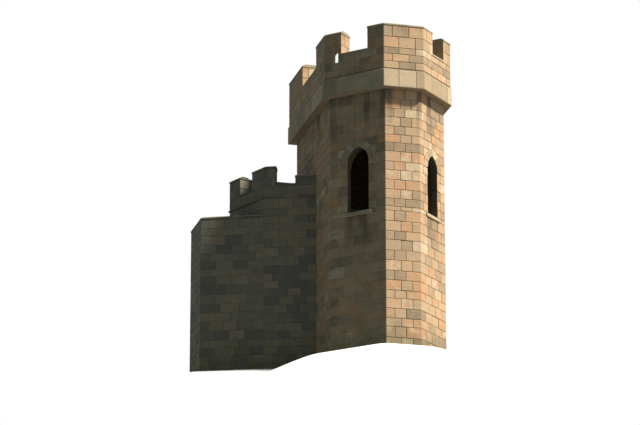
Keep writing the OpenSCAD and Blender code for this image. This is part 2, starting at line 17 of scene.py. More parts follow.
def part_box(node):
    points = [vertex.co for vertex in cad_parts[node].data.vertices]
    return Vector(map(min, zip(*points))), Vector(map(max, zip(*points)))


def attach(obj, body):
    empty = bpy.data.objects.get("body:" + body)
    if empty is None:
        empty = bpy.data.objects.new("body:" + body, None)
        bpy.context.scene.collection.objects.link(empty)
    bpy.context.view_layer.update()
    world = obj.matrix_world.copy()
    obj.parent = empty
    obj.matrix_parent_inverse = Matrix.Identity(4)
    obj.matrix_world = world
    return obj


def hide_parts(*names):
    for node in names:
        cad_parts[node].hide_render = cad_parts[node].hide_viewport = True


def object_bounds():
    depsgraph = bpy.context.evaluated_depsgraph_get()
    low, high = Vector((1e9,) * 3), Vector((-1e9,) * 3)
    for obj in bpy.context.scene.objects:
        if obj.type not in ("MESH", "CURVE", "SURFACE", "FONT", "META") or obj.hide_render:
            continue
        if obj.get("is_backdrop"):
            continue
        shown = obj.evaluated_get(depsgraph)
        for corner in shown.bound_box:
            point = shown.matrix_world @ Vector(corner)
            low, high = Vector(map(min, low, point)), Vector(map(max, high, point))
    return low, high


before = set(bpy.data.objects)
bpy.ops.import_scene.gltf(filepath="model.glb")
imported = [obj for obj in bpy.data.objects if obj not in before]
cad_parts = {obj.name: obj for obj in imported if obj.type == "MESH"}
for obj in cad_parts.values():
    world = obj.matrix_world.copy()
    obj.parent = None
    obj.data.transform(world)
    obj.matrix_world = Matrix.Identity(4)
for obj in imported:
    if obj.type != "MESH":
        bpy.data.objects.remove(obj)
cad_low, cad_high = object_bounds()
print("solids:", len(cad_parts), "size:", [round(v, 3) for v in cad_high - cad_low])

# %% [markdown]
# ## Measuring the solids
# The dressing has to sit on the solids, so nothing is typed in twice. The corner points of the
# plans come from the boxes of the walls, the heights from the levels at which a solid has
# corners, and the merlons' outlines from their flat tops.


# %% Levels and outlines of a solid
HAIR = 1e-4  # metres, less than this is nothing
FLAT = 0.004  # radians, faces that bend less than this are one
SAME_WAY = 0.99  # the cosine between two directions that count as one


def merged(node):
    """A clean copy of a solid's mesh, with its loose triangles joined into whole flat faces."""
    mesh = bmesh.new()
    mesh.from_mesh(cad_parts[node].data)
    bmesh.ops.remove_doubles(mesh, verts=mesh.verts, dist=1e-5)
    bmesh.ops.dissolve_limit(mesh, angle_limit=FLAT, verts=mesh.verts, edges=mesh.edges)
    return mesh


def levels(node):
    """The heights at which a solid has corners, from the lowest up."""
    return sorted({round(v.co.z, 4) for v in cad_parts[node].data.vertices})


def top_outline(node):
    """The counter-clockwise outline of a solid's flat top."""
    mesh = merged(node)
    top = max(v.co.z for v in mesh.verts)
    flat = [f for f in mesh.faces
            if f.normal.z > SAME_WAY and top - f.calc_center_median().z < HAIR]
    outline = [v.co.xy.copy() for v in max(flat, key=lambda f: f.calc_area()).verts]
    mesh.free()
    return outline


# %% The plans of the shaft, the turret and the low wall
left_low, left_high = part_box("left_wall")
front_low, front_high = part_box("front_wall")
right_low, right_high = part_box("right_wall")
SHAFT = [
    Vector((left_low.x, left_high.y)),
    Vector((left_low.x, left_low.y)),
    Vector((front_low.x, front_low.y)),
    Vector((front_high.x, front_low.y)),
    Vector((right_high.x, right_low.y)),
    Vector((right_high.x, left_high.y)),
]
LEFT, FRONT_LEFT, FRONT, FRONT_RIGHT, RIGHT, BACK = range(6)

side_low, side_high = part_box("turret_side_wall")
turret_low, turret_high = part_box("turret_front_wall")
TURRET = [
    Vector((side_low.x, side_high.y)),
    Vector((turret_low.x, side_low.y)),
    Vector((turret_high.x, turret_low.y)),
    Vector((turret_high.x, side_high.y)),
]
return_low, return_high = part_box("low_return_wall")
LOW_WALL = [Vector((return_low.x, return_high.y)), Vector((return_low.x, return_low.y)), TURRET[1]]

# %% The levels and overhangs of the parapet
shaft_top, band_edge, band_top, breast_top = levels("front_parapet")
merlon_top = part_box("front_merlon")[1].z
roof_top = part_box("roof_deck")[1].z
parapet_out = front_low.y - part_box("front_merlon")[0].y
band_out = front_low.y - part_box("front_parapet")[0].y
print("levels:", shaft_top, band_edge, band_top, breast_top, round(merlon_top, 3), round(roof_top, 3))
print("overhang:", round(parapet_out, 3), "band:", round(band_out, 3))


# %% Walking round a plan
def side(plan, i):
    """The way from corner i of a plan to the next one."""
    return plan[(i + 1) % len(plan)] - plan[i % len(plan)]


def way(plan, i):
    return side(plan, i).normalized()


def outward(direction):
    """The direction that a side faces, to the right of its own."""
    return Vector((direction.y, -direction.x))


def bend(plan, i):
    """How far the outline turns left at corner i, in radians."""
    before, after = way(plan, i - 1), way(plan, i)
    return math.atan2(before.cross(after), before.dot(after))


def grown(plan, distance):
    """The plan with every side moved outwards."""
    corners = []
    for i in range(len(plan)):
        before, after = outward(way(plan, i - 1)), outward(way(plan, i))
        corners.append(plan[i] + (before + after) * (distance / (1 + before.dot(after))))
    return corners


WALK = grown(SHAFT, parapet_out)
BAND = grown(SHAFT, band_out)
roof_reach = front_low.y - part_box("roof_deck")[0].y
ROOF = grown(SHAFT, roof_reach)
print("parapet is", round(parapet_out - roof_reach, 3), "thick")

# %% [markdown]
# ## Setting out the squared stones
# The keep is faced with squared rubble: courses of uneven height, stones of uneven length, and
# vertical joints that never stand above each other. Every corner has long and short quoins in
# turn, which bend round it. A texture could draw this, but at a corner, a window or a merlon the
# stones show in the outline, so each stone is a real block. This part only sets them out: one
# point for each stone, with its size and its turn. Geometry Nodes will make the blocks.

# %% The mason's rules
JOINT = 0.008  # between two stones
PROUD = 0.013  # how far a stone stands out of the wall
WORN = 0.011  # how far its arrises are rounded
SPALLED = 0.1  # the share of the stones that have lost their face
QUOINS = (0.43, 0.24)  # the lengths at a corner, in even and odd courses
JAMBS = (0.17, 0.31)  # the same at an opening
SHORTEST = 0.12  # the room that a stone between two others needs
SLIVER = 0.05  # a stretch as short as this gets no stone
LENGTHS_VARY = 0.38  # the share by which stones are longer or shorter than the usual one
HEIGHTS_VARY = 0.16  # the same for the height of the courses
TRIES = 12  # ways to cut a stretch, of which the best is taken
dice = random.Random(1871)


def parted(start, end, usual, spread):
    """Parts a stretch into uneven lengths. They differ from the usual one by a share, the spread."""
    count = max(1, round((end - start) / usual))
    shares = [dice.uniform(1 - spread, 1 + spread) for _ in range(count)]
    places = [start]
    for share in shares:
        places.append(places[-1] + (end - start) * share / sum(shares))
    return places


def rows(low, high, height, spread=HEIGHTS_VARY):
    """Courses of uneven height between two levels, from the lowest up."""
    places = parted(low, high, height, spread)
    return list(zip(places, places[1:]))


def lengths_of(start, end, usual, below):
    """Cuts a stretch of a course into stones, away from the joints of the course below."""
    best, best_gap = [], -1.0
    for _ in range(TRIES):
        cuts = parted(start, end, usual, LENGTHS_VARY)
        cuts[-1] = end
        gap = min((abs(c - joint) for c in cuts[1:-1] for joint in below), default=1.0)
        if gap > best_gap:
            best, best_gap = cuts, gap
    return best


def free_stretches(length, holes):
    """What is left of a course between the openings that cross it."""
    stretches = [(0.0, length)]
    for low, high in holes:
        cut = []
        for start, end in stretches:
            if high <= start or low >= end:
                cut.append((start, end))
                continue
            if low - start > SLIVER:
                cut.append((start, low))
            if end - high > SLIVER:
                cut.append((high, end))
        stretches = cut
    return stretches


def cuts_of(first, last, length, turns, odd, usual, below):
    """The ends of a stretch, and its joints, with those of its quoins and its jamb stones."""
    lead = JAMBS[odd] if first > 0.0 else QUOINS[odd] if turns[0] else 0.0
    tail = JAMBS[odd] if last < length else QUOINS[1 - odd] if turns[1] else 0.0
    room = last - first
    if room >= lead + tail + SHORTEST:
        inner = lengths_of(first + lead, last - tail, usual, below)
        return ([first] if lead else []) + inner + ([last] if tail else [])
    if lead and tail:
        return [first, first + lead * (room / (lead + tail)), last]
    return [first, last]


# %% Facing one side of a wall
class Stones:
    """The points of one dressed piece, one for each stone."""

    def __init__(self):
        self.rows = []

    def add(self, seat, size, swing, skew, tone):
        """Seat: the middle of the face. Size: half the length, how far it stands out, half the
        height. Swing: turn, lean and taper. Skew: the mitres of both ends, and the worn arrises."""
        self.rows.append((seat, size, swing, skew, tone))

    def face(self, start, end, courses, turns=(0, 0), usual=0.46, holes=(), proud=PROUD):
        """Lays courses on the side from start to end. A turn that isn't 0 gets mitred quoins."""
        along = (end - start).normalized()
        length = (end - start).length
        angle = math.atan2(along.y, along.x)
        below = []
        for k, (low, high) in enumerate(courses):
            gaps = [g for g in (hole(low, high) for hole in holes) if g]
            joints = []
            for first, last in free_stretches(length, sorted(gaps)):
                cuts = cuts_of(first, last, length, turns, k % 2, usual, below)
                joints += cuts[1:-1]
                for a, b in zip(cuts, cuts[1:]):
                    at_start = turns[0] if a == 0.0 else 0
                    at_end = turns[1] if b == length else 0
                    cornered = bool(at_start or at_end)
                    out, worn, lean = (proud, WORN, 0.0) if cornered else self.weather_of(proud)
                    a_cut = a if at_start else a + JOINT / 2
                    b_cut = b if at_end else b - JOINT / 2
                    seat = start + along * (a_cut + b_cut) / 2
                    self.add(
                        (seat.x, seat.y, (low + high) / 2),
                        ((b_cut - a_cut) / 2, out, (high - low - JOINT) / 2),
                        (angle, lean, 0),
                        (math.tan(at_start / 2), math.tan(at_end / 2), worn),
                        self.tone_at(start if at_start else end, low, cornered),
                    )
            below = joints

    def weather_of(self, proud):
        """How far a stone stands out, how worn its arrises are, and how it leans in its bed."""
        out = proud * dice.uniform(0.7, 1.3)
        worn = WORN + dice.uniform(-0.003, 0.007)
        if dice.random() < SPALLED:
            out, worn = proud * 0.3, worn * 1.3
        return out, worn, dice.uniform(-0.006, 0.006)

    def tone_at(self, corner, height, cornered):
        """One tone for the two legs of a quoin, and any tone for another stone."""
        if not cornered:
            return dice.random()
        return random.Random(f"{corner.x:.3f} {corner.y:.3f} {height:.3f}").random()

    def ring(self, outline, courses, holes=None, butts=(), **rules):
        """Faces every side of a closed outline, save tiny ones and those against another wall."""
        count = len(outline)
        tiny = {i for i in range(count) if side(outline, i).length < SHORTEST}
        bare = tiny.union(butts)
        for i in sorted(set(range(count)) - bare):
            turns = (
                0 if (i - 1) % count in bare else bend(outline, i),
                0 if (i + 1) % count in bare else bend(outline, i + 1),
            )
            self.face(outline[i], outline[(i + 1) % count], courses, turns,
                      holes=(holes or {}).get(i, ()), **rules)


# %% [markdown]
# ## The openings in the facing
# A stone must stop at a lancet, at its sill, at the doorway and at the loophole. Cutting the
# openings out of a finished facing would leave splinters of stone at their edges, and a mason
# would rather lay whole stones up to them. So each opening is a rule: given a course, it answers
# with the stretch of that course that has to stay free. Above the springing of a pointed arch that
# stretch narrows, and the arch stones cover the steps.


# %% Rules for the openings
GRAZE = 0.03  # a course that overlaps an opening by less runs past it


def block_hole(middle, half_width, low, high):
    """Free stretch at a straight opening between two levels."""
    def hole(row_low, row_high):
        if min(row_high, high) - max(row_low, low) < GRAZE:
            return None
        return (middle - half_width, middle + half_width)

    return hole


def arch_radius(half, rise):
    """The radius of the two arcs of an arch. A round arch rises by half its width."""
    return (half * half + rise * rise) / (2 * half)


def arch_half_width(half, rise, height):
    """Half the width of a pointed or round arch at a height above its springing."""
    radius = arch_radius(half, rise)
    if height <= 0:
        return half
    if height >= rise:
        return 0.0
    return math.sqrt(radius * radius - height * height) - (radius - half)


def arch_hole(middle, half, sill, top, rise, ring):
    """Free stretch at an arched opening with a ring of arch stones of that depth."""
    spring = top - rise
    radius = arch_radius(half, rise)
    outer_rise = math.sqrt((radius + ring) ** 2 - (radius - half) ** 2)

    def hole(row_low, row_high):
        only_grazes = row_high <= sill + 0.02 or row_low >= spring + outer_rise - 0.04
        if only_grazes:
            return None
        inner = arch_half_width(half, rise, max(row_low - spring, 0))
        outer = arch_half_width(half + ring, outer_rise, min(max(row_high - spring, 0), outer_rise))
        if row_high <= spring:
            width = half + 0.003
        elif row_low >= top:
            width = outer / 2
        else:
            width = max(inner + 0.02, (inner + outer) / 2)
        return (middle - width, middle + width)

    return hole


# %% Measuring the openings in a wall
def marks_on(node, plan, i, margin=0.019):
    """Where a solid has corners on side i of a plan: distance along the side, and height."""
    along, length = way(plan, i), side(plan, i).length
    marks = set()
    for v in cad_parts[node].data.vertices:
        offset = v.co.xy - plan[i]
        on_face = abs(offset.dot(outward(along))) < HAIR
        if on_face and margin < offset.dot(along) < length - margin:
            marks.add((round(offset.dot(along), 4), round(v.co.z, 4)))
    return sorted(marks)


class Lancet:
    """The sizes of the lancet in one wall of the shaft, read from the wall."""

    def __init__(self, node, i):
        above_doorway = shaft_top / 2 - 0.5
        marks = [(u, z) for u, z in marks_on(node, SHAFT, i) if z > above_doorway]
        self.side = i
        self.middle = side(SHAFT, i).length / 2
        self.top = max(z for _, z in marks)
        self.bed, self.sill = sorted({z for _, z in marks})[:2]
        self.half = max(abs(u - self.middle) for u, z in marks if z > self.sill + 0.3)
        on_jamb = [z for u, z in marks if abs(abs(u - self.middle) - self.half) < 2 * HAIR]
        self.spring = max(on_jamb)
        self.reach = max(abs(u - self.middle) for u, z in marks)
        self.rise = self.top - self.spring

    def place(self, across, height):
        """A point on the wall's face, so far right of the lancet's middle."""
        point = SHAFT[self.side] + way(SHAFT, self.side) * (self.middle + across)
        return Vector((point.x, point.y, height))


ARCH_RING = 0.2
LANCETS = [
    Lancet("front_left_wall", FRONT_LEFT),
    Lancet("front_right_wall", FRONT_RIGHT),
    Lancet("back_wall", BACK),
]
for lancet in LANCETS:
    print("lancet:", round(2 * lancet.half, 3), "wide, sill", lancet.sill, "spring",
          round(lancet.spring, 3), "top", round(lancet.top, 3))

# %% [markdown]
# ## Facing the shaft
# The shaft's courses run level all round it. They could start afresh on every side, but then no
# quoin would fit round its corner, so one list of courses serves all six. A course line lies at
# the turret's deck, so that the facing ends there where the turret stands against the flank. Below
# the springing of each lancet a small springer fills its course up to the arch stones.

# %% The shaft's stones
door_low, door_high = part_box("doorstep")
surround_low, surround_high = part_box("doorway_surround")
deck_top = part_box("turret_deck")[1].z
door_half = (door_high.x - door_low.x) / 2
door_ring = (surround_high.x - surround_low.x) / 2 - door_half
door_top = surround_high.z - door_ring

holes = {i: [] for i in range(6)}
for lancet in LANCETS:
    holes[lancet.side] += [
        arch_hole(lancet.middle, lancet.half, lancet.sill, lancet.top, lancet.rise, ARCH_RING),
        block_hole(lancet.middle, lancet.reach, lancet.bed, lancet.sill),
    ]
holes[BACK].append(
    arch_hole(right_high.x - (door_low.x + door_high.x) / 2, door_half + 0.02, -1.0, door_top,
              door_half, door_ring - 0.02))
turret_from, turret_to = left_high.y - TURRET[3].y, left_high.y - TURRET[2].y
holes[LEFT].append(block_hole((turret_from + turret_to) / 2, (turret_to - turret_from) / 2, 0, deck_top))

sill_line = LANCETS[0].bed
shaft_courses = (rows(0.0, sill_line, 0.28) + rows(sill_line, LANCETS[0].sill, 0.12)
                 + rows(LANCETS[0].sill, deck_top, 0.27) + rows(deck_top, shaft_top, 0.27))
shaft_stones = Stones()
shaft_stones.ring(SHAFT, shaft_courses, holes)
for lancet in LANCETS:
    low, high = next(c for c in shaft_courses if c[0] < lancet.spring < c[1])
    left, right = holes[lancet.side][0](low, high)
    for near, far in ((left - lancet.middle, -lancet.half), (lancet.half, right - lancet.middle)):
        if lancet.spring - low > GRAZE:
            shaft_stones.face(lancet.place(near, 0).xy, lancet.place(far, 0).xy, [(low, lancet.spring)])
print("shaft:", len(shaft_courses), "courses,", len(shaft_stones.rows), "stones")

# %% [markdown]
# ## Facing the parapet and the merlons
# The band under the parapet is of long ashlars with fine joints. Above it come the breast wall,
# with a face to the outside and one to the wall walk, and the merlons, which are faced all round.
# The loophole keeps its place between two stones, with one small stone as its lintel. It looks
# along the wall, so on the wall walk its opening goes round the inner corner of the parapet.

# %% The band's ashlars
band_stones = Stones()
band_stones.ring(BAND, [(shaft_top, band_edge)], usual=0.8, proud=0.006)

# %% The loophole
loop_sill = next(z for z in levels("front_left_parapet") if z > band_top + 0.1)


def loop_marks_on(node, plan, i):
    """How far along side i of a plan the loophole's corners are."""
    return [u for u, z in marks_on(node, plan, i) if z > loop_sill - HAIR]


loop_marks = loop_marks_on("front_left_parapet", WALK, FRONT_LEFT)
loop_right = loop_marks_on("front_left_parapet", ROOF, FRONT_LEFT)
loop_left = loop_marks_on("left_parapet", ROOF, LEFT)
print("loophole:", round(max(loop_marks) - min(loop_marks), 3), "wide, sill", loop_sill)


def span_hole(marks, low, high):
    """Free stretch between the outermost of some marks."""
    return block_hole((min(marks) + max(marks)) / 2, (max(marks) - min(marks)) / 2, low, high)


# %% The parapet's stones, outside and inside
parapet_stones = Stones()
outer_courses = rows(band_top, loop_sill, 0.24) + rows(loop_sill, breast_top, 0.24)
inner_courses = rows(roof_top, loop_sill, 0.3) + rows(loop_sill, breast_top, 0.3)
outer_holes = {FRONT_LEFT: [span_hole(loop_marks, loop_sill, breast_top)]}
parapet_stones.ring(WALK, outer_courses, outer_holes)
for i in range(6):
    turns = (-bend(ROOF, i + 1), -bend(ROOF, i))
    length = side(ROOF, i).length
    inner = []
    if i == FRONT_LEFT:
        inner = [span_hole([length - max(loop_right), length], loop_sill, breast_top)]
    elif i == LEFT:
        inner = [span_hole([0, length - min(loop_left)], loop_sill, breast_top)]
    parapet_stones.face(ROOF[(i + 1) % 6], ROOF[i], inner_courses, turns, usual=0.5, holes=inner)
print("parapet:", len(parapet_stones.rows), "stones")

# %% The merlons' stones
MERLONS = ["front_merlon", "left_front_merlon", "right_front_merlon",
           "left_back_merlon", "right_back_merlon", "back_merlon"]
merlon_courses = rows(breast_top, merlon_top, 0.3, spread=0.06)
merlon_stones = Stones()
lintel_top = merlon_courses[0][1]
for node in MERLONS:
    outline = top_outline(node)
    gaps = {}
    for i in range(len(outline)):
        # Only the loophole has corners between a merlon's foot and its top.
        marks = [(u, z) for u, z in marks_on(node, outline, i, margin=-0.001)
                 if breast_top + 0.01 < z < merlon_top - 0.01]
        if marks:
            head = max(z for _, z in marks)
            gaps[i] = [span_hole([u for u, _ in marks], breast_top, min(head, lintel_top))]
            if lintel_top - head > 0.1:
                jambs = [outline[i] + way(outline, i) * u for u, _ in marks]
                merlon_stones.face(jambs[0], jambs[-1], [(head, lintel_top)])
    merlon_stones.ring(outline, merlon_courses, gaps, usual=0.42)
print("merlons:", len(merlon_stones.rows), "stones")

# %% [markdown]
# ## Facing the turret and the low wall
# These are of the same squared rubble in smaller stones, greyer and darker; the darkness is partly
# painted shade, for the shade they stand in. A side that stands against another wall is left out,
# as is one of a few centimetres, which has no room for a stone. The stones beside it stop without a
# quoin.

# %% The turret's stones
turret_stones = Stones()
string_low, string_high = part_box("turret_string")
turret_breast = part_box("turret_front_wall")[1].z
TURRET_INNER = 2
turret_courses = rows(0.0, string_low.z, 0.25) + rows(string_high.z, turret_breast, 0.27)
turret_stones.ring(TURRET, turret_courses, usual=0.4, butts={TURRET_INNER})


def against_tower(outline):
    """The sides of an outline that stand against the tower's left flank."""
    touching = [abs(corner.x - SHAFT[0].x) < 10 * HAIR for corner in outline]
    return {i for i in range(len(outline)) if touching[i] and touching[(i + 1) % len(outline)]}


room = top_outline("turret_deck")[::-1]
turret_stones.ring(room, rows(deck_top, turret_breast, 0.27), usual=0.4, butts=against_tower(room))
for node in ("turret_corner_merlon", "turret_side_merlon", "turret_back_merlon", "turret_stub"):
    outline = top_outline(node)
    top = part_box(node)[1].z
    turret_stones.ring(outline, rows(turret_breast, top, 0.26, spread=0.05), usual=0.36,
                       butts=against_tower(outline))
print("turret:", len(turret_stones.rows), "stones")

# %% The low wall's stones
def starting_at(outline, point):
    """The same outline, listed from the corner nearest to a point."""
    first = min(range(len(outline)), key=lambda i: (outline[i] - point).length)
    return outline[first:] + outline[:first]


low_stones = Stones()
low_front = starting_at(top_outline("low_wall"), LOW_WALL[1])
low_return = starting_at(top_outline("low_return_wall"), LOW_WALL[0])
low_outline = [LOW_WALL[0]] + low_front + [low_return[-1]]
LOW_END = 2
low_courses = rows(0.0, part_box("low_wall")[1].z, 0.25)
low_stones.ring(low_outline, low_courses, usual=0.42, butts={LOW_END})
print("low wall:", len(low_stones.rows), "stones")

# %% [markdown]
# ## Arch stones
# The pointed head of a lancet is two arcs. Each arc is built of wedge-shaped stones whose
# joints point to the arc's centre, so every stone leans a little more than the one before it. A
# ring sawn into wedges would do as well, but the facing's block can lean and taper, so the arch
# stones are more points for the same block maker. The narrow key stone closes the point.

# %% The lancets' arch stones
ARCH_STONE = 0.19  # its length along the arc
ARCH_PROUD, KEY_PROUD = 0.024, 0.022
arch_stones = Stones()
for lancet in LANCETS:
    radius = arch_radius(lancet.half, lancet.rise)
    along = way(SHAFT, lancet.side)
    angle = math.atan2(along.y, along.x)
    middle_radius = radius + ARCH_RING / 2
    reach = math.acos((radius - lancet.half) / radius)
    count = round(middle_radius * reach / ARCH_STONE)
    half_length = middle_radius * reach / count / 2 - JOINT / 2
    for hand in (-1, 1):
        for k in range(count):
            turn = reach * (k + 0.5) / count
            across = hand * (middle_radius * math.cos(turn) - (radius - lancet.half))
            arch_stones.add(
                lancet.place(across, lancet.spring + middle_radius * math.sin(turn)),
                (half_length, ARCH_PROUD + dice.uniform(-0.002, 0.002), ARCH_RING / 2),
                (angle, hand * (turn - math.pi / 2), 1 / middle_radius),
                (0, 0, 0.008),
                dice.random(),
            )
    key_half = ARCH_RING * (radius - lancet.half) / radius / 2
    arch_stones.add(
        lancet.place(0, lancet.top + ARCH_RING / 2),
        (key_half, KEY_PROUD, ARCH_RING / 2),
        (angle, 0, 1.7 / ARCH_RING),
        (0, 0, 0.004),
        dice.random(),
    )
print("arch stones:", len(arch_stones.rows))

# %% [markdown]
# ## Nodes and wires written as expressions
# Both the block maker and the finishes are node trees. A small class wraps a socket, so that
# sums and products of sockets are written as Python expressions, and one method adds any other
# node: its type, its settings, and the values or wires of its sockets.


# %% A wire
def operator(operation, reflected=False):
    """A method that turns a Python operator into a Math node."""
    def method(wire, other):
        pair = (other, wire) if reflected else (wire, other)
        return wire.bench.maths(operation, *pair)

    return method


class Wire:
    """An output socket that takes part in Python expressions."""

    def __init__(self, bench, socket):
        self.bench, self.socket = bench, socket

    __add__ = __radd__ = operator("ADD")
    __sub__ = operator("SUBTRACT")
    __rsub__ = operator("SUBTRACT", reflected=True)
    __mul__ = __rmul__ = operator("MULTIPLY")
    __truediv__ = operator("DIVIDE")
    __lt__ = operator("LESS_THAN")
    __gt__ = operator("GREATER_THAN")


# %% A bench
class Bench:
    """A node tree with one method that adds any node and wires it up."""

    def __init__(self, tree):
        self.tree = tree

    def add(self, kind, settings=None, sockets=None, out=0):
        node = self.tree.nodes.new(kind)
        for name, value in (settings or {}).items():
            if name == "stops":
                self.set_stops(node.color_ramp, value)
            else:
                setattr(node, name, value)
        for name, value in (sockets or {}).items():
            if isinstance(value, Wire):
                self.tree.links.new(value.socket, node.inputs[name])
            else:
                node.inputs[name].default_value = value
        return Wire(self, node.outputs[out])

    def add_with(self, kind, outs, settings=None, sockets=None):
        """Adds a node of which several outputs are wanted."""
        node = self.add(kind, settings, sockets).socket.node
        return [Wire(self, node.outputs[out]) for out in outs]

    def close(self, kind, sockets):
        """The last node of a tree, which has no outputs."""
        node = self.tree.nodes.new(kind)
        for name, wire in sockets.items():
            self.tree.links.new(wire.socket, node.inputs[name])

    @staticmethod
    def set_stops(ramp, stops):
        while len(ramp.elements) < len(stops):
            ramp.elements.new(0.5)
        for element, (position, colour) in zip(ramp.elements, stops):
            element.position = position
            element.color = colour

    def maths(self, operation, first, second=0.0):
        return self.add("ShaderNodeMath", {"operation": operation}, {0: first, 1: second})

    def vector_maths(self, operation, first, second, out=0):
        return self.add("ShaderNodeVectorMath", {"operation": operation}, {0: first, 1: second}, out)

    def parts_of(self, vector):
        return self.add_with("ShaderNodeSeparateXYZ", range(3), sockets={0: vector})

    def vector(self, x, y, z):
        return self.add("ShaderNodeCombineXYZ", sockets={0: x, 1: y, 2: z})

    def mix(self, share, first, second, blend="MIX"):
        """Mixes two colours by a share, or multiplies the first by the second."""
        return self.add("ShaderNodeMix", {"data_type": "RGBA", "blend_type": blend},
                        {0: share, 6: first, 7: second}, out=2)

    def scaled(self, colour, factor):
        return self.add("ShaderNodeVectorMath", {"operation": "SCALE"}, {0: colour, "Scale": factor})

    def noise(self, place, scale, detail=3.0, stretch=(1, 1, 1)):
        return self.add("ShaderNodeTexNoise", {}, {
            "Vector": self.vector_maths("MULTIPLY", place, stretch), "Scale": scale, "Detail": detail})

    def ramp(self, value, low, high):
        """0 below low, 1 above high, and smooth between them."""
        return self.add("ShaderNodeMapRange", {"interpolation_type": "SMOOTHSTEP"},
                        {0: value, 1: low, 2: high, 3: 0.0, 4: 1.0})


# %% [markdown]
# ## One block for every stone
# All the stones share one block: a small grid of points round a box. Each point carries three
# attributes. "grow" says which way it moves with the stone's size, and "pull" which way it moves
# with the rounding of the worn arrises. "end" tells the two ends apart, because at a corner of
# the tower the end of a quoin is cut to the mitre and keeps its sharp edge.

# %% Attributes and new objects
def set_attribute(mesh, name, values):
    """Gives every point of a mesh a number or a vector."""
    numbers = isinstance(values[0], float)
    layer = mesh.attributes.new(name, "FLOAT" if numbers else "FLOAT_VECTOR", "POINT")
    if numbers:
        layer.data.foreach_set("value", values)
    else:
        layer.data.foreach_set("vector", [part for vector in values for part in vector])


def into_scene(name, data):
    """A new object for a mesh, a lamp or a camera."""
    thing = bpy.data.objects.new(name, data)
    bpy.context.scene.collection.objects.link(thing)
    return thing


# %% The block
# Three rows of places on the block: which way a point grows, and which way it is pulled.
ALONG = ((-1, 0), (-1, 1), (0, 0), (1, -1), (1, 0))
DEPTH = ((-1, 0), (-1, 1), (1, 0))
UPWARD = ((-1, 0), (-1, 1), (1, -1), (1, 0))
EDGE_PULL = {2: 0.29, 3: 0.42}  # where two or three outer sides meet, as a share of the rounding


def block_mesh():
    """A box of 5 by 3 by 4 points, without those inside it."""
    spots, grows, pulls, ends = {}, [], [], []
    for i, (gx, px) in enumerate(ALONG):
        for j, (gy, py) in enumerate(DEPTH):
            for k, (gz, pz) in enumerate(UPWARD):
                if 0 < i < 4 and j == 1 and 0 < k < 3:
                    continue
                outer = [i in (0, 4), j == 0, k in (0, 3)]
                amount = EDGE_PULL.get(sum(outer), 0.0)
                pull = [p - g * amount if o else p
                        for p, g, o in zip((px, py, pz), (gx, gy, gz), outer)]
                spots[i, j, k] = len(grows)
                grows.append((gx, gy, gz))
                pulls.append(pull)
                ends.append(-1.0 if i < 2 else 1.0 if i > 2 else 0.0)
    faces = []
    for i in range(4):
        for k in range(3):
            faces.append([(i, 0, k), (i + 1, 0, k), (i + 1, 0, k + 1), (i, 0, k + 1)])
            faces.append([(i, 2, k), (i, 2, k + 1), (i + 1, 2, k + 1), (i + 1, 2, k)])
    for i in range(4):
        for j in range(2):
            faces.append([(i, j, 0), (i, j + 1, 0), (i + 1, j + 1, 0), (i + 1, j, 0)])
            faces.append([(i, j, 3), (i + 1, j, 3), (i + 1, j + 1, 3), (i, j + 1, 3)])
    for j in range(2):
        for k in range(3):
            faces.append([(0, j, k), (0, j, k + 1), (0, j + 1, k + 1), (0, j + 1, k)])
            faces.append([(4, j, k), (4, j + 1, k), (4, j + 1, k + 1), (4, j, k + 1)])
    mesh = bpy.data.meshes.new("block")
    mesh.from_pydata(grows, [], [[spots[s] for s in face] for face in faces])
    set_attribute(mesh, "grow", grows)
    set_attribute(mesh, "pull", pulls)
    set_attribute(mesh, "end", ends)
    return mesh


block = into_scene("block", block_mesh())
print("block:", len(block.data.polygons), "faces")

# %% [markdown]
# ## The block maker
# The tree puts the block on every point, makes the copies real, and then moves each corner to
# where its stone has it: it grows the block to its size, rounds it, cuts its ends to the mitre,
# tapers and leans it for an arch, and turns it to face outwards. A little noise roughens the
# face and sets the edges off true, as a mason's hammer leaves them.


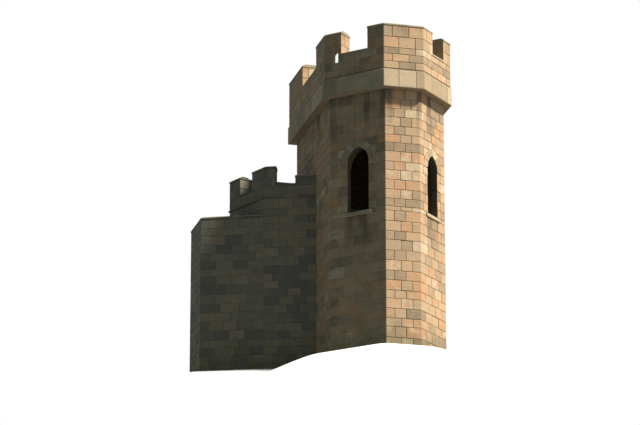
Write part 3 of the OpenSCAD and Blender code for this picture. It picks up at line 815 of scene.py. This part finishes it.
# %% The block maker's tree
def block_maker():
    tree = bpy.data.node_groups.new("lay_stones", "GeometryNodeTree")
    for name, kind in (("Stones", "Geometry"), ("Block", "Object"), ("Bedded", "Float"),
                       ("Roughness of the face", "Float"), ("Finish", "Material")):
        tree.interface.new_socket(name, in_out="INPUT", socket_type="NodeSocket" + kind)
    tree.interface.new_socket("Stones", in_out="OUTPUT", socket_type="NodeSocketGeometry")
    b = Bench(tree)
    stones, solid, bedded, rough, finish = b.add_with("NodeGroupInput", range(5))

    shape = b.add("GeometryNodeObjectInfo", {"transform_space": "ORIGINAL"}, {"Object": solid},
                  out="Geometry")
    placed = b.add("GeometryNodeInstanceOnPoints", {}, {"Points": stones, "Instance": shape})
    real = b.add("GeometryNodeRealizeInstances", {}, {"Geometry": placed})

    def attribute(name, kind="FLOAT_VECTOR"):
        return b.add("GeometryNodeInputNamedAttribute", {"data_type": kind}, {"Name": name})

    size_x, size_y, size_z = b.parts_of(attribute("size"))
    turn, lean, taper = b.parts_of(attribute("swing"))
    at_start, at_end, worn = b.parts_of(attribute("skew"))
    grow_x, grow_y, grow_z = b.parts_of(attribute("grow"))
    pull_x, pull_y, pull_z = b.parts_of(attribute("pull"))

    # Each end is cut to its own mitre, and the points between them take the mean of both.
    end = attribute("end", "FLOAT")
    starting, ending = end < -0.5, end > 0.5
    cut = ending * at_end - starting * at_start
    mitred = b.maths("ABSOLUTE", cut) > HAIR
    skew = cut + (1 - starting - ending) * (at_end - at_start) * 0.5

    # Noise at a corner's place hews the stone, but not its mitred ends.
    seat = attribute("seat")
    across = grow_x * size_x
    corner = b.vector_maths("ADD", seat, b.vector(across, across, grow_z * size_z))
    lumps = b.add("ShaderNodeTexNoise", {}, {"Vector": corner, "Scale": 5.0, "Detail": 2.0}, "Color")
    hewn_x, hewn_y, hewn_z = ((part - 0.5) * rough * (1 - mitred) for part in b.parts_of(lumps))

    # Depth is negative on the face and positive in the wall, and only the face has relief.
    relief = hewn_y * (grow_y < 0)
    depth = (grow_y * (size_y + bedded) + (bedded - size_y)) / 2 + pull_y * worn - relief
    rounded = pull_x * worn * (1 - mitred * (b.maths("ABSOLUTE", pull_x) < 0.9))
    x = (grow_x * size_x + rounded + hewn_x * 0.6 - skew * depth) * (1 + grow_z * size_z * taper)
    z = grow_z * size_z + pull_z * worn + hewn_z * 0.6

    # The stone leans in its bed, and turns to the way its wall faces.
    x, z = turned(b, x, z, lean)
    x, y = turned(b, x, depth, turn)
    moved = b.vector_maths("ADD", seat, b.vector(x, y, z))
    laid = b.add("GeometryNodeSetPosition", {}, {"Geometry": real, "Position": moved})
    done = b.add("GeometryNodeSetMaterial", {}, {"Geometry": laid, "Material": finish})
    b.close("NodeGroupOutput", {0: done})
    return tree


def turned(b, first, second, angle):
    """Two coordinates after a turn by an angle, from the first axis towards the second."""
    cosine, sine = b.maths("COSINE", angle), b.maths("SINE", angle)
    return first * cosine - second * sine, first * sine + second * cosine


# %% [markdown]
# ## The finishes
# The keep is of a warm buff sandstone. Each squared stone has a tone of its own, from grey-brown
# through buff to orange and pale cream, with faint bedding lines and a fine grain. Rain has left
# its marks: dark streaks under the parapet and the sills, damp at the foot, and grey lichen on
# everything that faces up. What faces left is darkened with a cool grey film, which is painted
# shade for the side that the sun leaves in shade. The tone is an attribute of the stone, and the
# rest reads the place on the keep, so the same finish works on every piece.

# %% Colours
def srgb(red, green, blue):
    """A colour as it is seen on a screen, in the linear values that a shader takes."""
    def linear(c):
        c /= 255
        return c / 12.92 if c <= 0.04045 else ((c + 0.055) / 1.055) ** 2.4

    return (linear(red), linear(green), linear(blue), 1.0)


def tones_at(*stops):
    """The stops of a ramp: a percentage, and a colour as it is seen on a screen."""
    return [(percent / 100, srgb(*colour)) for percent, *colour in stops]


TOWER_TONES = tones_at((0, 150, 132, 106), (16, 176, 149, 116), (38, 196, 166, 130),
                       (60, 207, 172, 131), (78, 206, 158, 115), (88, 214, 186, 148),
                       (100, 226, 207, 175))
DRESSED_TONES = tones_at((0, 168, 146, 115), (50, 196, 169, 132), (100, 218, 195, 158))
# Turret and low wall: greyer and darker than the tower's stone; the darkness is partly painted shade,
# for the shade they stand in.
TURRET_TONES = tones_at((0, 103, 101, 89), (30, 121, 116, 100), (60, 136, 127, 107),
                        (85, 148, 131, 107), (100, 160, 146, 123))
COPING_TONES = tones_at((0, 148, 136, 110), (50, 170, 154, 124), (100, 192, 173, 142))
# Copings of the turret and the low wall: dark grey, partly painted shade for the shade they stand in.
DARK_COPING_TONES = tones_at((0, 92, 90, 74), (50, 110, 104, 86), (100, 132, 122, 98))
PAVING_TONES = tones_at((0, 132, 126, 110), (60, 152, 143, 122), (100, 170, 158, 134))
OAK_TONES = tones_at((20, 78, 58, 38), (50, 112, 86, 58), (80, 140, 112, 80))
MORTAR = srgb(134, 120, 97)
GREY_LICHEN = srgb(146, 142, 122)
MOSS = srgb(98, 98, 62)
# Dark brown: soot in the streaks, the darkened slope above the band, and painted shade inside the
# lancets.
SOOT_AND_PAINTED_SHADE = srgb(74, 66, 54)
# Painted shade: a cool grey film that darkens what faces left, away from the sun.
PAINTED_SHADE_FILM = srgb(148, 163, 165)


# %% Near the lancets
def near_lancets(b, place, inner, outer):
    """1 below, in and above a lancet, and 0 away from it, by the distance from its middle."""
    x, y, _ = b.parts_of(place)
    on_plan = b.vector(x, y, 0.0)
    nearest = 10.0
    for lancet in LANCETS:
        away = b.vector_maths("DISTANCE", on_plan, lancet.place(0, 0), out="Value")
        nearest = b.maths("MINIMUM", away * (1 / lancet.reach), nearest)
    return 1 - b.ramp(nearest, inner, outer)


def painted_shade_in_lancets(b, place):
    """1 on the jambs and the arch inside a lancet, where the shade of the recess is painted."""
    height = b.parts_of(place)[2]
    top = max(lancet.top for lancet in LANCETS)
    return near_lancets(b, place, 1.0, 1.5) * (height > LANCETS[0].sill) * (height < top + 0.1)


# %% What the weather does to stone, and painted shade on the left
STREAK = 1.5  # how far rain streaks run down below an overhang
SPLASHED = 1.3  # how far damp climbs up a wall


def weather_and_painted_shade(b, colour, place, streaks_and_shade, moss, lichen=0.45):
    """Lichen on what faces up, streaks below the overhangs, damp and moss at the foot, and painted shade
    on what faces left.
    """
    x, y, height = b.parts_of(place)
    facing_x, facing_y, facing_up = b.parts_of(b.add("ShaderNodeNewGeometry", out="Normal"))
    patches = b.noise(place, 2.6, 5.0)

    # Lichen is a crust on what faces up, and specks elsewhere.
    crust = b.ramp(facing_up, 0.35, 0.85) * b.ramp(patches, 0.36, 0.62)
    colour = b.mix(crust * 0.75, colour, GREY_LICHEN)
    specks = b.ramp(b.noise(place, 9.0, 4.0), 0.62, 0.70) * b.ramp(patches, 0.45, 0.6)
    colour = b.mix(specks * lichen, colour, GREY_LICHEN)

    # Streaks run down below the parapet, the copings and the sills.
    runs = b.ramp(b.noise(place, 3.4, 3.0, (1, 1, 0.09)), 0.44, 0.66)
    below_parapet = b.ramp(height, shaft_top - STREAK, shaft_top) * (height < shaft_top)
    under_copings = b.ramp(height, merlon_top - 0.55, merlon_top)
    colour = b.mix((below_parapet * 0.75 + under_copings * 0.3) * runs * streaks_and_shade, colour, SOOT_AND_PAINTED_SHADE)

    below_sills = near_lancets(b, place, 0.6, 1.15) * b.ramp(height, sill_line - STREAK, sill_line)
    colour = b.mix(below_sills * (height < sill_line) * (0.35 + runs * 0.5) * streaks_and_shade, colour, SOOT_AND_PAINTED_SHADE)

    # What faces left is darkened with a cool grey film: painted shade, for the side away from the sun.
    # The slope above the band is darkened too.
    outside = x * facing_x + y * facing_y > -0.1
    painted_shade_left = b.ramp(0 - facing_x, 0.1, 0.6) * outside
    colour = b.mix(painted_shade_left * (0.56 + patches * 0.5) * streaks_and_shade, colour, PAINTED_SHADE_FILM, "MULTIPLY")
    ledge = (height > band_edge - 0.004) * (height < band_top + 0.02) * outside
    colour = b.mix(ledge * (0.35 + patches * 0.6) * streaks_and_shade, colour, SOOT_AND_PAINTED_SHADE)

    # Moss grows where the foot is splashed.
    foot = (1 - b.ramp(height, 0.15, SPLASHED)) * b.ramp(patches, 0.3, 0.62)
    colour = b.mix(foot * moss, colour, MOSS)
    return colour


# %% The stone finish
def finish_of(name):
    """An empty material, its bench, and the place on the keep."""
    material = bpy.data.materials.new(name)
    material.use_nodes = True
    material.node_tree.nodes.clear()
    b = Bench(material.node_tree)
    place = b.add("ShaderNodeTexCoord", out="Object")
    return material, b, place


def surfaced(b, colour, height, roughness, depth):
    """Closes a material: a rough surface with a bump."""
    bump = b.add("ShaderNodeBump", {}, {"Strength": 0.55, "Distance": depth, "Height": height})
    shader = b.add("ShaderNodeBsdfPrincipled", {}, {"Base Color": colour, "Roughness": roughness,
                   "Specular IOR Level": 0.25, "Normal": bump})
    b.close("ShaderNodeOutputMaterial", {"Surface": shader})


def stone_finish(name, tones, streaks_and_shade=1.0, moss=0.5, lichen=0.45):
    """Stone in a tone of its own, with blotches, bedding lines, a fine grain and pits."""
    material, b, place = finish_of(name)
    tone = b.add("ShaderNodeAttribute", {"attribute_name": "tone"}, out="Fac")
    blotches = b.noise(place, 1.7, 4.0)
    patches = b.noise(place, 7.0, 4.0)
    bedding = b.noise(place, 5.0, 3.0, (0.35, 0.35, 7.0))
    grain = b.noise(place, 95.0, 2.0)
    decay = b.ramp(blotches * 0.6 + patches * 0.4, 0.46, 0.6)
    pits = b.ramp(b.noise(place, 26.0, 5.0), 0.54, 0.68) * decay
    colour = b.add("ShaderNodeValToRGB", {"stops": tones}, {0: tone * 0.86 + patches * 0.42 - 0.14})
    shade = 0.68 + blotches * 0.26 + bedding * 0.24 + grain * 0.16 - pits * 0.16
    colour = weather_and_painted_shade(b, b.scaled(colour, shade), place, streaks_and_shade, moss, lichen)
    surfaced(b, colour, patches * 0.5 + bedding * 0.4 + grain * 0.35 - pits * 0.7, 0.9, 0.016)
    return material


tower_stone = stone_finish("tower_stone", TOWER_TONES)
dressed_stone = stone_finish("dressed_stone", DRESSED_TONES, 1.0, 0.3)
coping_stone = stone_finish("coping_stone", COPING_TONES, 0.7, 0.3)
turret_stone = stone_finish("turret_stone", TURRET_TONES, 0.85, 0.8, 0.8)
turret_coping_stone = stone_finish("turret_coping_stone", DARK_COPING_TONES, 0.7, 0.8, 0.7)
paving_stone = stone_finish("paving_stone", PAVING_TONES, 0.0, 0.3)

# %% [markdown]
# ## The core of the walls
# The solids of the walls stay in place behind the facing. Between the facing stones they show as
# mortar, and inside the rooms as plainer rubble, which is only drawn. The courses must run
# level on walls that face every way, so the pattern's first coordinate is worked out from the
# direction in which the surface faces.

# %% The rubble finish
def rubble_finish(name, stone, other, moss=0.4):
    """Two tones of stone in level courses, drawn with their mortar."""
    material, b, place = finish_of(name)
    facing_x, facing_y, _ = b.parts_of(b.add("ShaderNodeNewGeometry", out="True Normal"))
    x, y, height = b.parts_of(place)
    across = y * facing_x - x * facing_y
    wobble = b.noise(place, 2.2, 2.0) * 0.05
    rubble, joints = b.add_with(
        "ShaderNodeTexBrick", ("Color", "Fac"), {"offset": 0.43, "squash": 0.8, "squash_frequency": 3},
        {"Vector": b.vector(across + wobble, height + wobble, 0.0), "Scale": 1.0,
         "Color1": stone, "Color2": other, "Mortar": MORTAR, "Mortar Size": 0.012,
         "Mortar Smooth": 0.3, "Bias": 0.0, "Brick Width": 0.44, "Row Height": 0.26})
    grain = b.noise(place, 60.0, 3.0)
    patches = b.noise(place, 4.0, 4.0)
    colour = b.scaled(rubble, 0.68 + grain * 0.25 + patches * 0.35)
    colour = weather_and_painted_shade(b, colour, place, 0.6, moss)
    # The jambs and the arch inside the lancets are darkened: painted shade in the recess.
    colour = b.mix(painted_shade_in_lancets(b, place) * (0.55 + patches * 0.5), colour, SOOT_AND_PAINTED_SHADE)
    surfaced(b, colour, grain * 0.3 + patches * 0.5 - joints * 0.8, 0.95, 0.014)
    return material


tower_core = rubble_finish("tower_core", srgb(168, 146, 114), srgb(150, 132, 106))
turret_core = rubble_finish("turret_core", srgb(122, 115, 98), srgb(112, 107, 93), 0.8)


# %% [markdown]
# ## Oak
# The upper floor, its joists and the roof beams are of oak. A wave texture would draw its grain
# in even rings, which sawn oak doesn't show. So noise is stretched out the way the joists and
# beams lie, once for the broad grain and once for the fibres.

# %% The oak finish
def oak_finish(name):
    material, b, place = finish_of(name)
    tone = b.add("ShaderNodeAttribute", {"attribute_name": "tone"}, out="Fac")
    grain = b.noise(place, 3.0, 4.0, (1.0, 14.0, 14.0))
    fibres = b.noise(place, 12.0, 3.0, (0.6, 12.0, 12.0))
    colour = b.add("ShaderNodeValToRGB", {"stops": OAK_TONES},
                   {0: grain * 0.7 + tone * 0.3 + (fibres - 0.5) * 0.4})
    surfaced(b, colour, grain * 0.4 + fibres * 0.6, 0.75, 0.004)
    return material


oak = oak_finish("oak")
print("finishes:", len(bpy.data.materials))

# %% [markdown]
# ## Laying the stones
# Every list of stones becomes a cloud of points with attributes. The block maker runs on it as a
# modifier, its result is kept as a plain mesh, and the attributes that only steered the maker are
# dropped. The tone stays, for the finish. The two legs of a quoin still end in a face each at the
# mitre. Such faces lie on each other inside the stone, so both go, and the legs become one solid.

# %% One solid for every quoin
TOUCHING = 0.0003


def join_quoins(mesh):
    """Drops the faces that lie on each other, and joins the corners round them."""
    stones = bmesh.new()
    stones.from_mesh(mesh)
    faces = list(stones.faces)
    middles = KDTree(len(faces))
    for face in faces:
        middles.insert(face.calc_center_median(), face.index)
    middles.balance()
    inner = []
    for face in faces:
        near = middles.find_range(face.calc_center_median(), TOUCHING)
        if any(faces[i].normal.dot(face.normal) < -SAME_WAY for _, i, _ in near):
            inner.append(face)
    bmesh.ops.delete(stones, geom=inner, context="FACES")
    bmesh.ops.remove_doubles(stones, verts=stones.verts, dist=TOUCHING)
    stones.to_mesh(mesh)
    stones.free()


# %% Points into stones
maker = block_maker()
inputs = {item.name: item.identifier for item in maker.interface.items_tree
          if item.item_type == "SOCKET" and item.in_out == "INPUT"}
BEDDED = 0.02  # how far a stone reaches into the wall
STEERING = ("seat", "size", "swing", "skew")


def piece_of(name, mesh):
    """A piece that moves with the keep."""
    piece = into_scene(name, mesh)
    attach(piece, "root")
    return piece


def lay(name, stones, finish, roughness=0.02):
    """Makes a piece of a list of stones."""
    points = bpy.data.meshes.new(name + "_points")
    points.from_pydata([row[0] for row in stones.rows], [], [])
    for label, values in zip(STEERING + ("tone",), zip(*stones.rows)):
        set_attribute(points, label, values)
    cloud = into_scene(name + "_points", points)
    modifier = cloud.modifiers.new("lay", "NODES")
    modifier.node_group = maker
    modifier[inputs["Block"]] = block
    modifier[inputs["Bedded"]] = BEDDED
    modifier[inputs["Roughness of the face"]] = roughness
    modifier[inputs["Finish"]] = finish
    bpy.context.view_layer.update()
    evaluated = cloud.evaluated_get(bpy.context.evaluated_depsgraph_get())
    mesh = bpy.data.meshes.new_from_object(evaluated)
    mesh.name = name
    bpy.data.objects.remove(cloud)
    for label in STEERING + ("grow", "pull", "end"):
        mesh.attributes.remove(mesh.attributes[label])
    join_quoins(mesh)
    piece_of(name, mesh)
    print(name, len(stones.rows), "stones", 2 * len(mesh.polygons), "triangles")


# %% All the stones of the keep
lay("shaft_stones", shaft_stones, tower_stone)
lay("band_stones", band_stones, dressed_stone, 0.005)
lay("parapet_stones", parapet_stones, tower_stone)
lay("merlon_stones", merlon_stones, tower_stone)
lay("turret_stones", turret_stones, turret_stone)
lay("low_wall_stones", low_stones, turret_stone)
lay("lancet_arch_stones", arch_stones, dressed_stone, 0.004)
bpy.data.objects.remove(block)

# %% [markdown]
# ## Sawing copings, flags and boards
# A coping is a single solid for every stretch of wall, but a mason lays it as slabs, and a floor
# is of flags or boards. The solid already has the right section, so a copy of it is sawn: a thin
# slice is taken out at each joint, both cut faces are closed, and the arrises are eased.


# %% The separate solids of a mesh
def islands(mesh):
    """Every separate solid of a mesh, as a mesh of its own, in the order of their corners."""
    mesh.verts.index_update()
    seen, found = set(), []
    for first in mesh.verts:
        if first.index in seen:
            continue
        group, edge = {first.index}, [first]
        while edge:
            vert = edge.pop()
            for link in vert.link_edges:
                other = link.other_vert(vert)
                if other.index not in group:
                    group.add(other.index)
                    edge.append(other)
        seen |= group
        solid = mesh.copy()
        bmesh.ops.delete(solid, geom=[v for v in solid.verts if v.index not in group], context="VERTS")
        found.append(solid)
    return found


def solids_of(node):
    """The separate solids of a node of the frame."""
    return islands(merged(node))


# %% The saw
SAW = 0.006  # the joint between two slabs
X, Y, Z = Vector((1, 0, 0)), Vector((0, 1, 0)), Vector((0, 0, 1))


def sawn(solid, point, normal, joint):
    """The two closed parts of a solid on both sides of a saw cut."""
    parts = []
    for hand in (-1, 1):
        part = solid.copy()
        bmesh.ops.bisect_plane(
            part, geom=part.verts[:] + part.edges[:] + part.faces[:], dist=1e-6,
            plane_co=point + normal * hand * joint / 2, plane_no=normal * hand, clear_inner=True)
        rim = [e for e in part.edges if e.is_boundary]
        if rim:
            bmesh.ops.edgeloop_fill(part, edges=rim)
            bmesh.ops.recalc_face_normals(part, faces=part.faces)
        parts.append(part)
    solid.free()
    return parts


def slices(solid, direction, usual, joint=SAW, waver=0.1):
    """Saws a solid across a direction into parts of about the usual length."""
    reaches = [v.co.dot(direction) for v in solid.verts]
    low, high = min(reaches), max(reaches)
    count = max(1, round((high - low) / usual))
    parts = []
    for k in range(1, count):
        at = low + (high - low) * (k + dice.uniform(-waver, waver)) / count
        part, solid = sawn(solid, direction * at, direction, joint)
        parts.append(part)
    return parts + [solid]


def along_wall(solid):
    """The direction of a solid's longest level edge."""
    level = [e for e in solid.edges if abs(e.verts[0].co.z - e.verts[1].co.z) < HAIR]
    longest = max(level, key=lambda e: e.calc_length())
    return (longest.verts[1].co - longest.verts[0].co).normalized()


# %% Putting the sawn parts in place of a solid
def dress(name, node, parts, finish, arris):
    """One piece of many parts, each with its own tone, that stands for a solid of the frame."""
    whole = bmesh.new()
    tone = whole.verts.layers.float.new("tone")
    for part in parts:
        start = len(whole.verts)
        carrier = bpy.data.meshes.new("carrier")
        bmesh.ops.dissolve_limit(part, angle_limit=FLAT, verts=part.verts, edges=part.edges)
        part.to_mesh(carrier)
        part.free()
        whole.from_mesh(carrier)
        bpy.data.meshes.remove(carrier)
        whole.verts.ensure_lookup_table()
        value = dice.random()
        for vert in whole.verts[start:]:
            vert[tone] = value
    mesh = bpy.data.meshes.new(name)
    whole.to_mesh(mesh)
    whole.free()
    mesh.materials.append(finish)
    piece = piece_of(name, mesh)
    eased = piece.modifiers.new("eased", "BEVEL")
    eased.width, eased.segments, eased.limit_method = arris, 2, "ANGLE"
    eased.angle_limit = math.radians(25)
    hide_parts(node)
    print(name, len(parts), "parts")


# %% Copings, string course, sills and step
for name, node, usual, finish, arris in (
    ("merlon_coping_slabs", "merlon_copings", 0.6, coping_stone, 0.012),
    ("crenel_coping_slabs", "crenel_copings", 0.6, coping_stone, 0.012),
    ("turret_coping_slabs", "turret_copings", 0.6, turret_coping_stone, 0.012),
    ("turret_string_stones", "turret_string", 0.6, turret_coping_stone, 0.006),
    ("low_wall_coping_slabs", "low_wall_coping", 0.7, turret_coping_stone, 0.012),
):
    slabs = [part for solid in solids_of(node) for part in slices(solid, along_wall(solid), usual)]
    dress(name, node, slabs, finish, arris)
dress("sill_stones", "lancet_sills", solids_of("lancet_sills"), dressed_stone, 0.01)
dress("step_stone", "doorstep", solids_of("doorstep"), dressed_stone, 0.015)

# %% [markdown]
# ## The doorway's dressed stones
# The surround is one solid with the right opening and the right face, so it is sawn as the
# copings are. Blocks would need its sizes a second time. The jambs are sawn level below the
# springing, and the round arch is sawn along lines through its centre into nine wedges.

# %% Jambs and arch of the doorway
spring = door_top - door_half
centre = Vector(((surround_low.x + surround_high.x) / 2, surround_high.y, spring))
jambs, arch = sawn(merged("doorway_surround"), centre, Z, SAW)
stones = [part for jamb in islands(jambs) for part in slices(jamb, Z, 0.36)]
WEDGES = 9
for k in range(1, WEDGES):
    turn = math.pi * k / WEDGES
    wedge, arch = sawn(arch, centre, Vector((-math.sin(turn), 0, math.cos(turn))), SAW)
    stones.append(wedge)
dress("doorway_stones", "doorway_surround", stones + [arch], dressed_stone, 0.01)


# %% [markdown]
# ## Floors
# The wall walk and the decks are of stone flags in rows, and the upper floor is of oak boards on
# its joists. A grid of equal flags would meet the canted walls in the wrong places, so each floor
# is sawn into rows first, and each row into flags of its own lengths.

# %% Flags and boards
FLAG_LONG, FLAG_JOINT = 0.85, 0.007
BOARD_WIDE, BOARD_JOINT = 0.19, 0.003
for name, node, row in (
    ("roof_flags", "roof_deck", 0.62),
    ("ground_flags", "ground_floor", 0.55),
    ("turret_deck_flags", "turret_deck", 0.62),
    ("turret_floor_flags", "turret_floor", 0.62),
):
    flags = [flag for solid in solids_of(node) for strip in slices(solid, Y, row, FLAG_JOINT)
             for flag in slices(strip, X, FLAG_LONG, FLAG_JOINT, 0.3)]
    dress(name, node, flags, paving_stone, 0.008)
boards = [board for solid in solids_of("upper_floor")
          for board in slices(solid, X, BOARD_WIDE, BOARD_JOINT, 0.04)]
dress("floor_boards", "upper_floor", boards, oak, 0.003)

# %% [markdown]
# ## Finishes for the solids that stay
# The walls, the parapet and the merlons stay as the core behind their facing, and the joists and
# beams stay as they are, squared timbers with a plain form. Copies of them would add nothing, so
# only their material slots change.

# %% Painting the solids
TIMBERS = ("floor_joists", "roof_beams")
for node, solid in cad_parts.items():
    if solid.hide_render:
        continue
    if node in TIMBERS:
        finish = oak
    elif node.startswith(("turret", "low")):
        finish = turret_core
    else:
        finish = tower_core
    for slot in solid.material_slots:
        slot.material = finish
print("solids shown:", sum(not s.hide_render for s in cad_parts.values()))

# %% [markdown]
# ## A hilltop for a floor
# The photograph looks up at the keep, from below its foot. On a level floor the camera would be
# under it, so the floor is a smooth pale hill: level under the keep, and falling away on all
# sides more steeply than the camera looks up.

# %% The hill's fall
HILL_RIM, HILL_ROUND, HILL_SLOPE = 0.25, 0.35, math.radians(28)
HILL_STEP, HILL_STEPS, HILL_GROWTH, HILL_REACH = 0.12, 65, 1.12, 60
HILL_BELOW = 0.002  # the foot stands clear of the ground by this
SPOKES = 240
FOOT = [*SHAFT[1:], SHAFT[0], TURRET[3], TURRET[0], LOW_WALL[0], LOW_WALL[1], TURRET[2]]


def distance_to_foot(point):
    """How far a point is from the keep's footprint, and 0 inside it."""
    inside, nearest = False, 1e9
    for a, b in zip(FOOT, FOOT[1:] + FOOT[:1]):
        if (a.y > point.y) != (b.y > point.y):
            if point.x < a.x + (point.y - a.y) * (b.x - a.x) / (b.y - a.y):
                inside = not inside
        along = b - a
        share = max(0.0, min(1.0, (point - a).dot(along) / along.length_squared))
        nearest = min(nearest, (point - a - along * share).length)
    return 0.0 if inside else nearest


def hill_height(distance):
    """Level up to the rim, and then ever steeper, until it falls at the full slope."""
    past_rim = max(0.0, distance - HILL_RIM)
    sunk = past_rim - HILL_ROUND * (1 - math.exp(-past_rim / HILL_ROUND))
    return -math.tan(HILL_SLOPE) * sunk - HILL_BELOW


# %% The hill's mesh
middle = Vector(((cad_low.x + cad_high.x) / 2, (cad_low.y + cad_high.y) / 2))
radii = [HILL_STEP * k for k in range(1, HILL_STEPS + 1)]
while radii[-1] < HILL_REACH:
    radii.append(radii[-1] * HILL_GROWTH)
points = [middle.to_3d()]
points[0].z = hill_height(0.0)
for radius in radii:
    for k in range(SPOKES):
        turn = 2 * math.pi * k / SPOKES
        spot = middle + Vector((math.cos(turn), math.sin(turn))) * radius
        points.append(Vector((spot.x, spot.y, hill_height(distance_to_foot(spot)))))
faces = [(0, 1 + k, 1 + (k + 1) % SPOKES) for k in range(SPOKES)]
for ring in range(len(radii) - 1):
    first, second = 1 + ring * SPOKES, 1 + (ring + 1) * SPOKES
    for k in range(SPOKES):
        after = (k + 1) % SPOKES
        faces.append((first + k, second + k, second + after, first + after))
hill_mesh = bpy.data.meshes.new("hill")
hill_mesh.from_pydata(points, [], faces)
hill_mesh.shade_smooth()
hill = into_scene("hill", hill_mesh)
hill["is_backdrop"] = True
print("hill:", len(faces), "faces")


# %% The hill's finish
def seen_by_camera(b):
    """1 for what the camera sees, also through or in something else, and 0 for light that falls."""
    camera, glossy, through = b.add_with(
        "ShaderNodeLightPath", ("Is Camera Ray", "Is Glossy Ray", "Is Transmission Ray"))
    return b.maths("MAXIMUM", b.maths("MAXIMUM", camera, glossy), through)


hill_finish, b, _ = finish_of("hill")
pale = b.add("ShaderNodeBsdfDiffuse", {}, {"Color": srgb(232, 230, 224)})
dim = b.add("ShaderNodeBsdfDiffuse", {}, {"Color": srgb(120, 118, 112)})
b.close("ShaderNodeOutputMaterial", {"Surface": b.add(
    "ShaderNodeMixShader", {}, {0: seen_by_camera(b), 1: dim, 2: pale})})
hill_mesh.materials.append(hill_finish)

# %% [markdown]
# ## Light
# In the photograph the sun stands high to the right, so the front and the right cant are lit and
# the left side is in shade. It is just high enough to look over the tower into the turret, where
# the crenel on the left lets its bright inside show. An area lamp near the keep would light the
# two ends unlike each other, so one soft sun lamp is used, and an even pale world lightens the
# shade. The camera sees the world as white.

# %% Sun and world
SUN_STANDS = (50, 56)
SKY = (0.71, 0.88, 1.0, 1.0)


def toward(azimuth, elevation):
    """The direction to something at an azimuth, 0 in front of the keep, and an elevation."""
    a, e = math.radians(azimuth), math.radians(elevation)
    return Vector((math.sin(a) * math.cos(e), -math.cos(a) * math.cos(e), math.sin(e)))


sun_data = bpy.data.lights.new("sun", "SUN")
sun_data.energy = 6.85
sun_data.angle = math.radians(6)
sun_data.color = (1.0, 0.97, 0.93)
sun = into_scene("sun", sun_data)
sun.rotation_mode = "QUATERNION"
sun.rotation_quaternion = (-toward(*SUN_STANDS)).to_track_quat("-Z", "Y")

world = bpy.data.worlds.new("world")
bpy.context.scene.world = world
world.use_nodes = True
world.node_tree.nodes.clear()
b = Bench(world.node_tree)
sky = b.add("ShaderNodeBackground", {}, {"Color": SKY, "Strength": 0.29})
white = b.add("ShaderNodeBackground", {}, {"Color": (1.0, 1.0, 1.0, 1.0), "Strength": 1.0})
b.close("ShaderNodeOutputWorld", {"Surface": b.add(
    "ShaderNodeMixShader", {}, {0: seen_by_camera(b), 1: sky, 2: white})})
bpy.context.scene.view_settings.view_transform = "Standard"

# %% [markdown]
# ## Camera
# The photograph was taken from far away and below. The camera stands a hundred metres off in
# the same direction, and a long lens fills the frame with the keep.

# %% The camera
FRAME_WIDE, FRAME_HIGH = 640, 425
FILLED_WIDE, FILLED_HIGH = 0.9, 0.88
CAMERA_STANDS = (-14.5, -18.0)
FAR = 100.0
SENSOR = 36.0
back_to_camera = toward(*CAMERA_STANDS)
look = (-back_to_camera).to_track_quat("-Z", "Y")
right_hand, upward = look @ X, look @ Y
spots = [v.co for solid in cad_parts.values() for v in solid.data.vertices]
across = [p.dot(right_hand) for p in spots]
height = [p.dot(upward) for p in spots]
depth = sum(p.dot(back_to_camera) for p in spots) / len(spots)
aim = (right_hand * (min(across) + max(across)) / 2 + upward * (min(height) + max(height)) / 2
       + back_to_camera * depth)
tall = (max(height) - min(height)) / FILLED_HIGH
wide = max(tall * FRAME_WIDE / FRAME_HIGH, (max(across) - min(across)) / FILLED_WIDE)
camera_data = bpy.data.cameras.new("camera")
camera_data.sensor_width = SENSOR
camera_data.lens = SENSOR * FAR / wide
camera_data.clip_end = 5 * FAR
camera = into_scene("camera", camera_data)
camera.rotation_mode = "QUATERNION"
camera.rotation_quaternion = look
camera.location = aim + back_to_camera * FAR
bpy.context.scene.camera = camera
print("lens:", round(camera_data.lens, 1), "mm")

# %% [markdown]
# ## The last look
# The dressing may not make the keep bigger, so the two boxes are kept side by side.

# %% Sizes
low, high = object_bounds()
print("grown by", [round(v, 4) for v in cad_low - low], [round(v, 4) for v in high - cad_high])
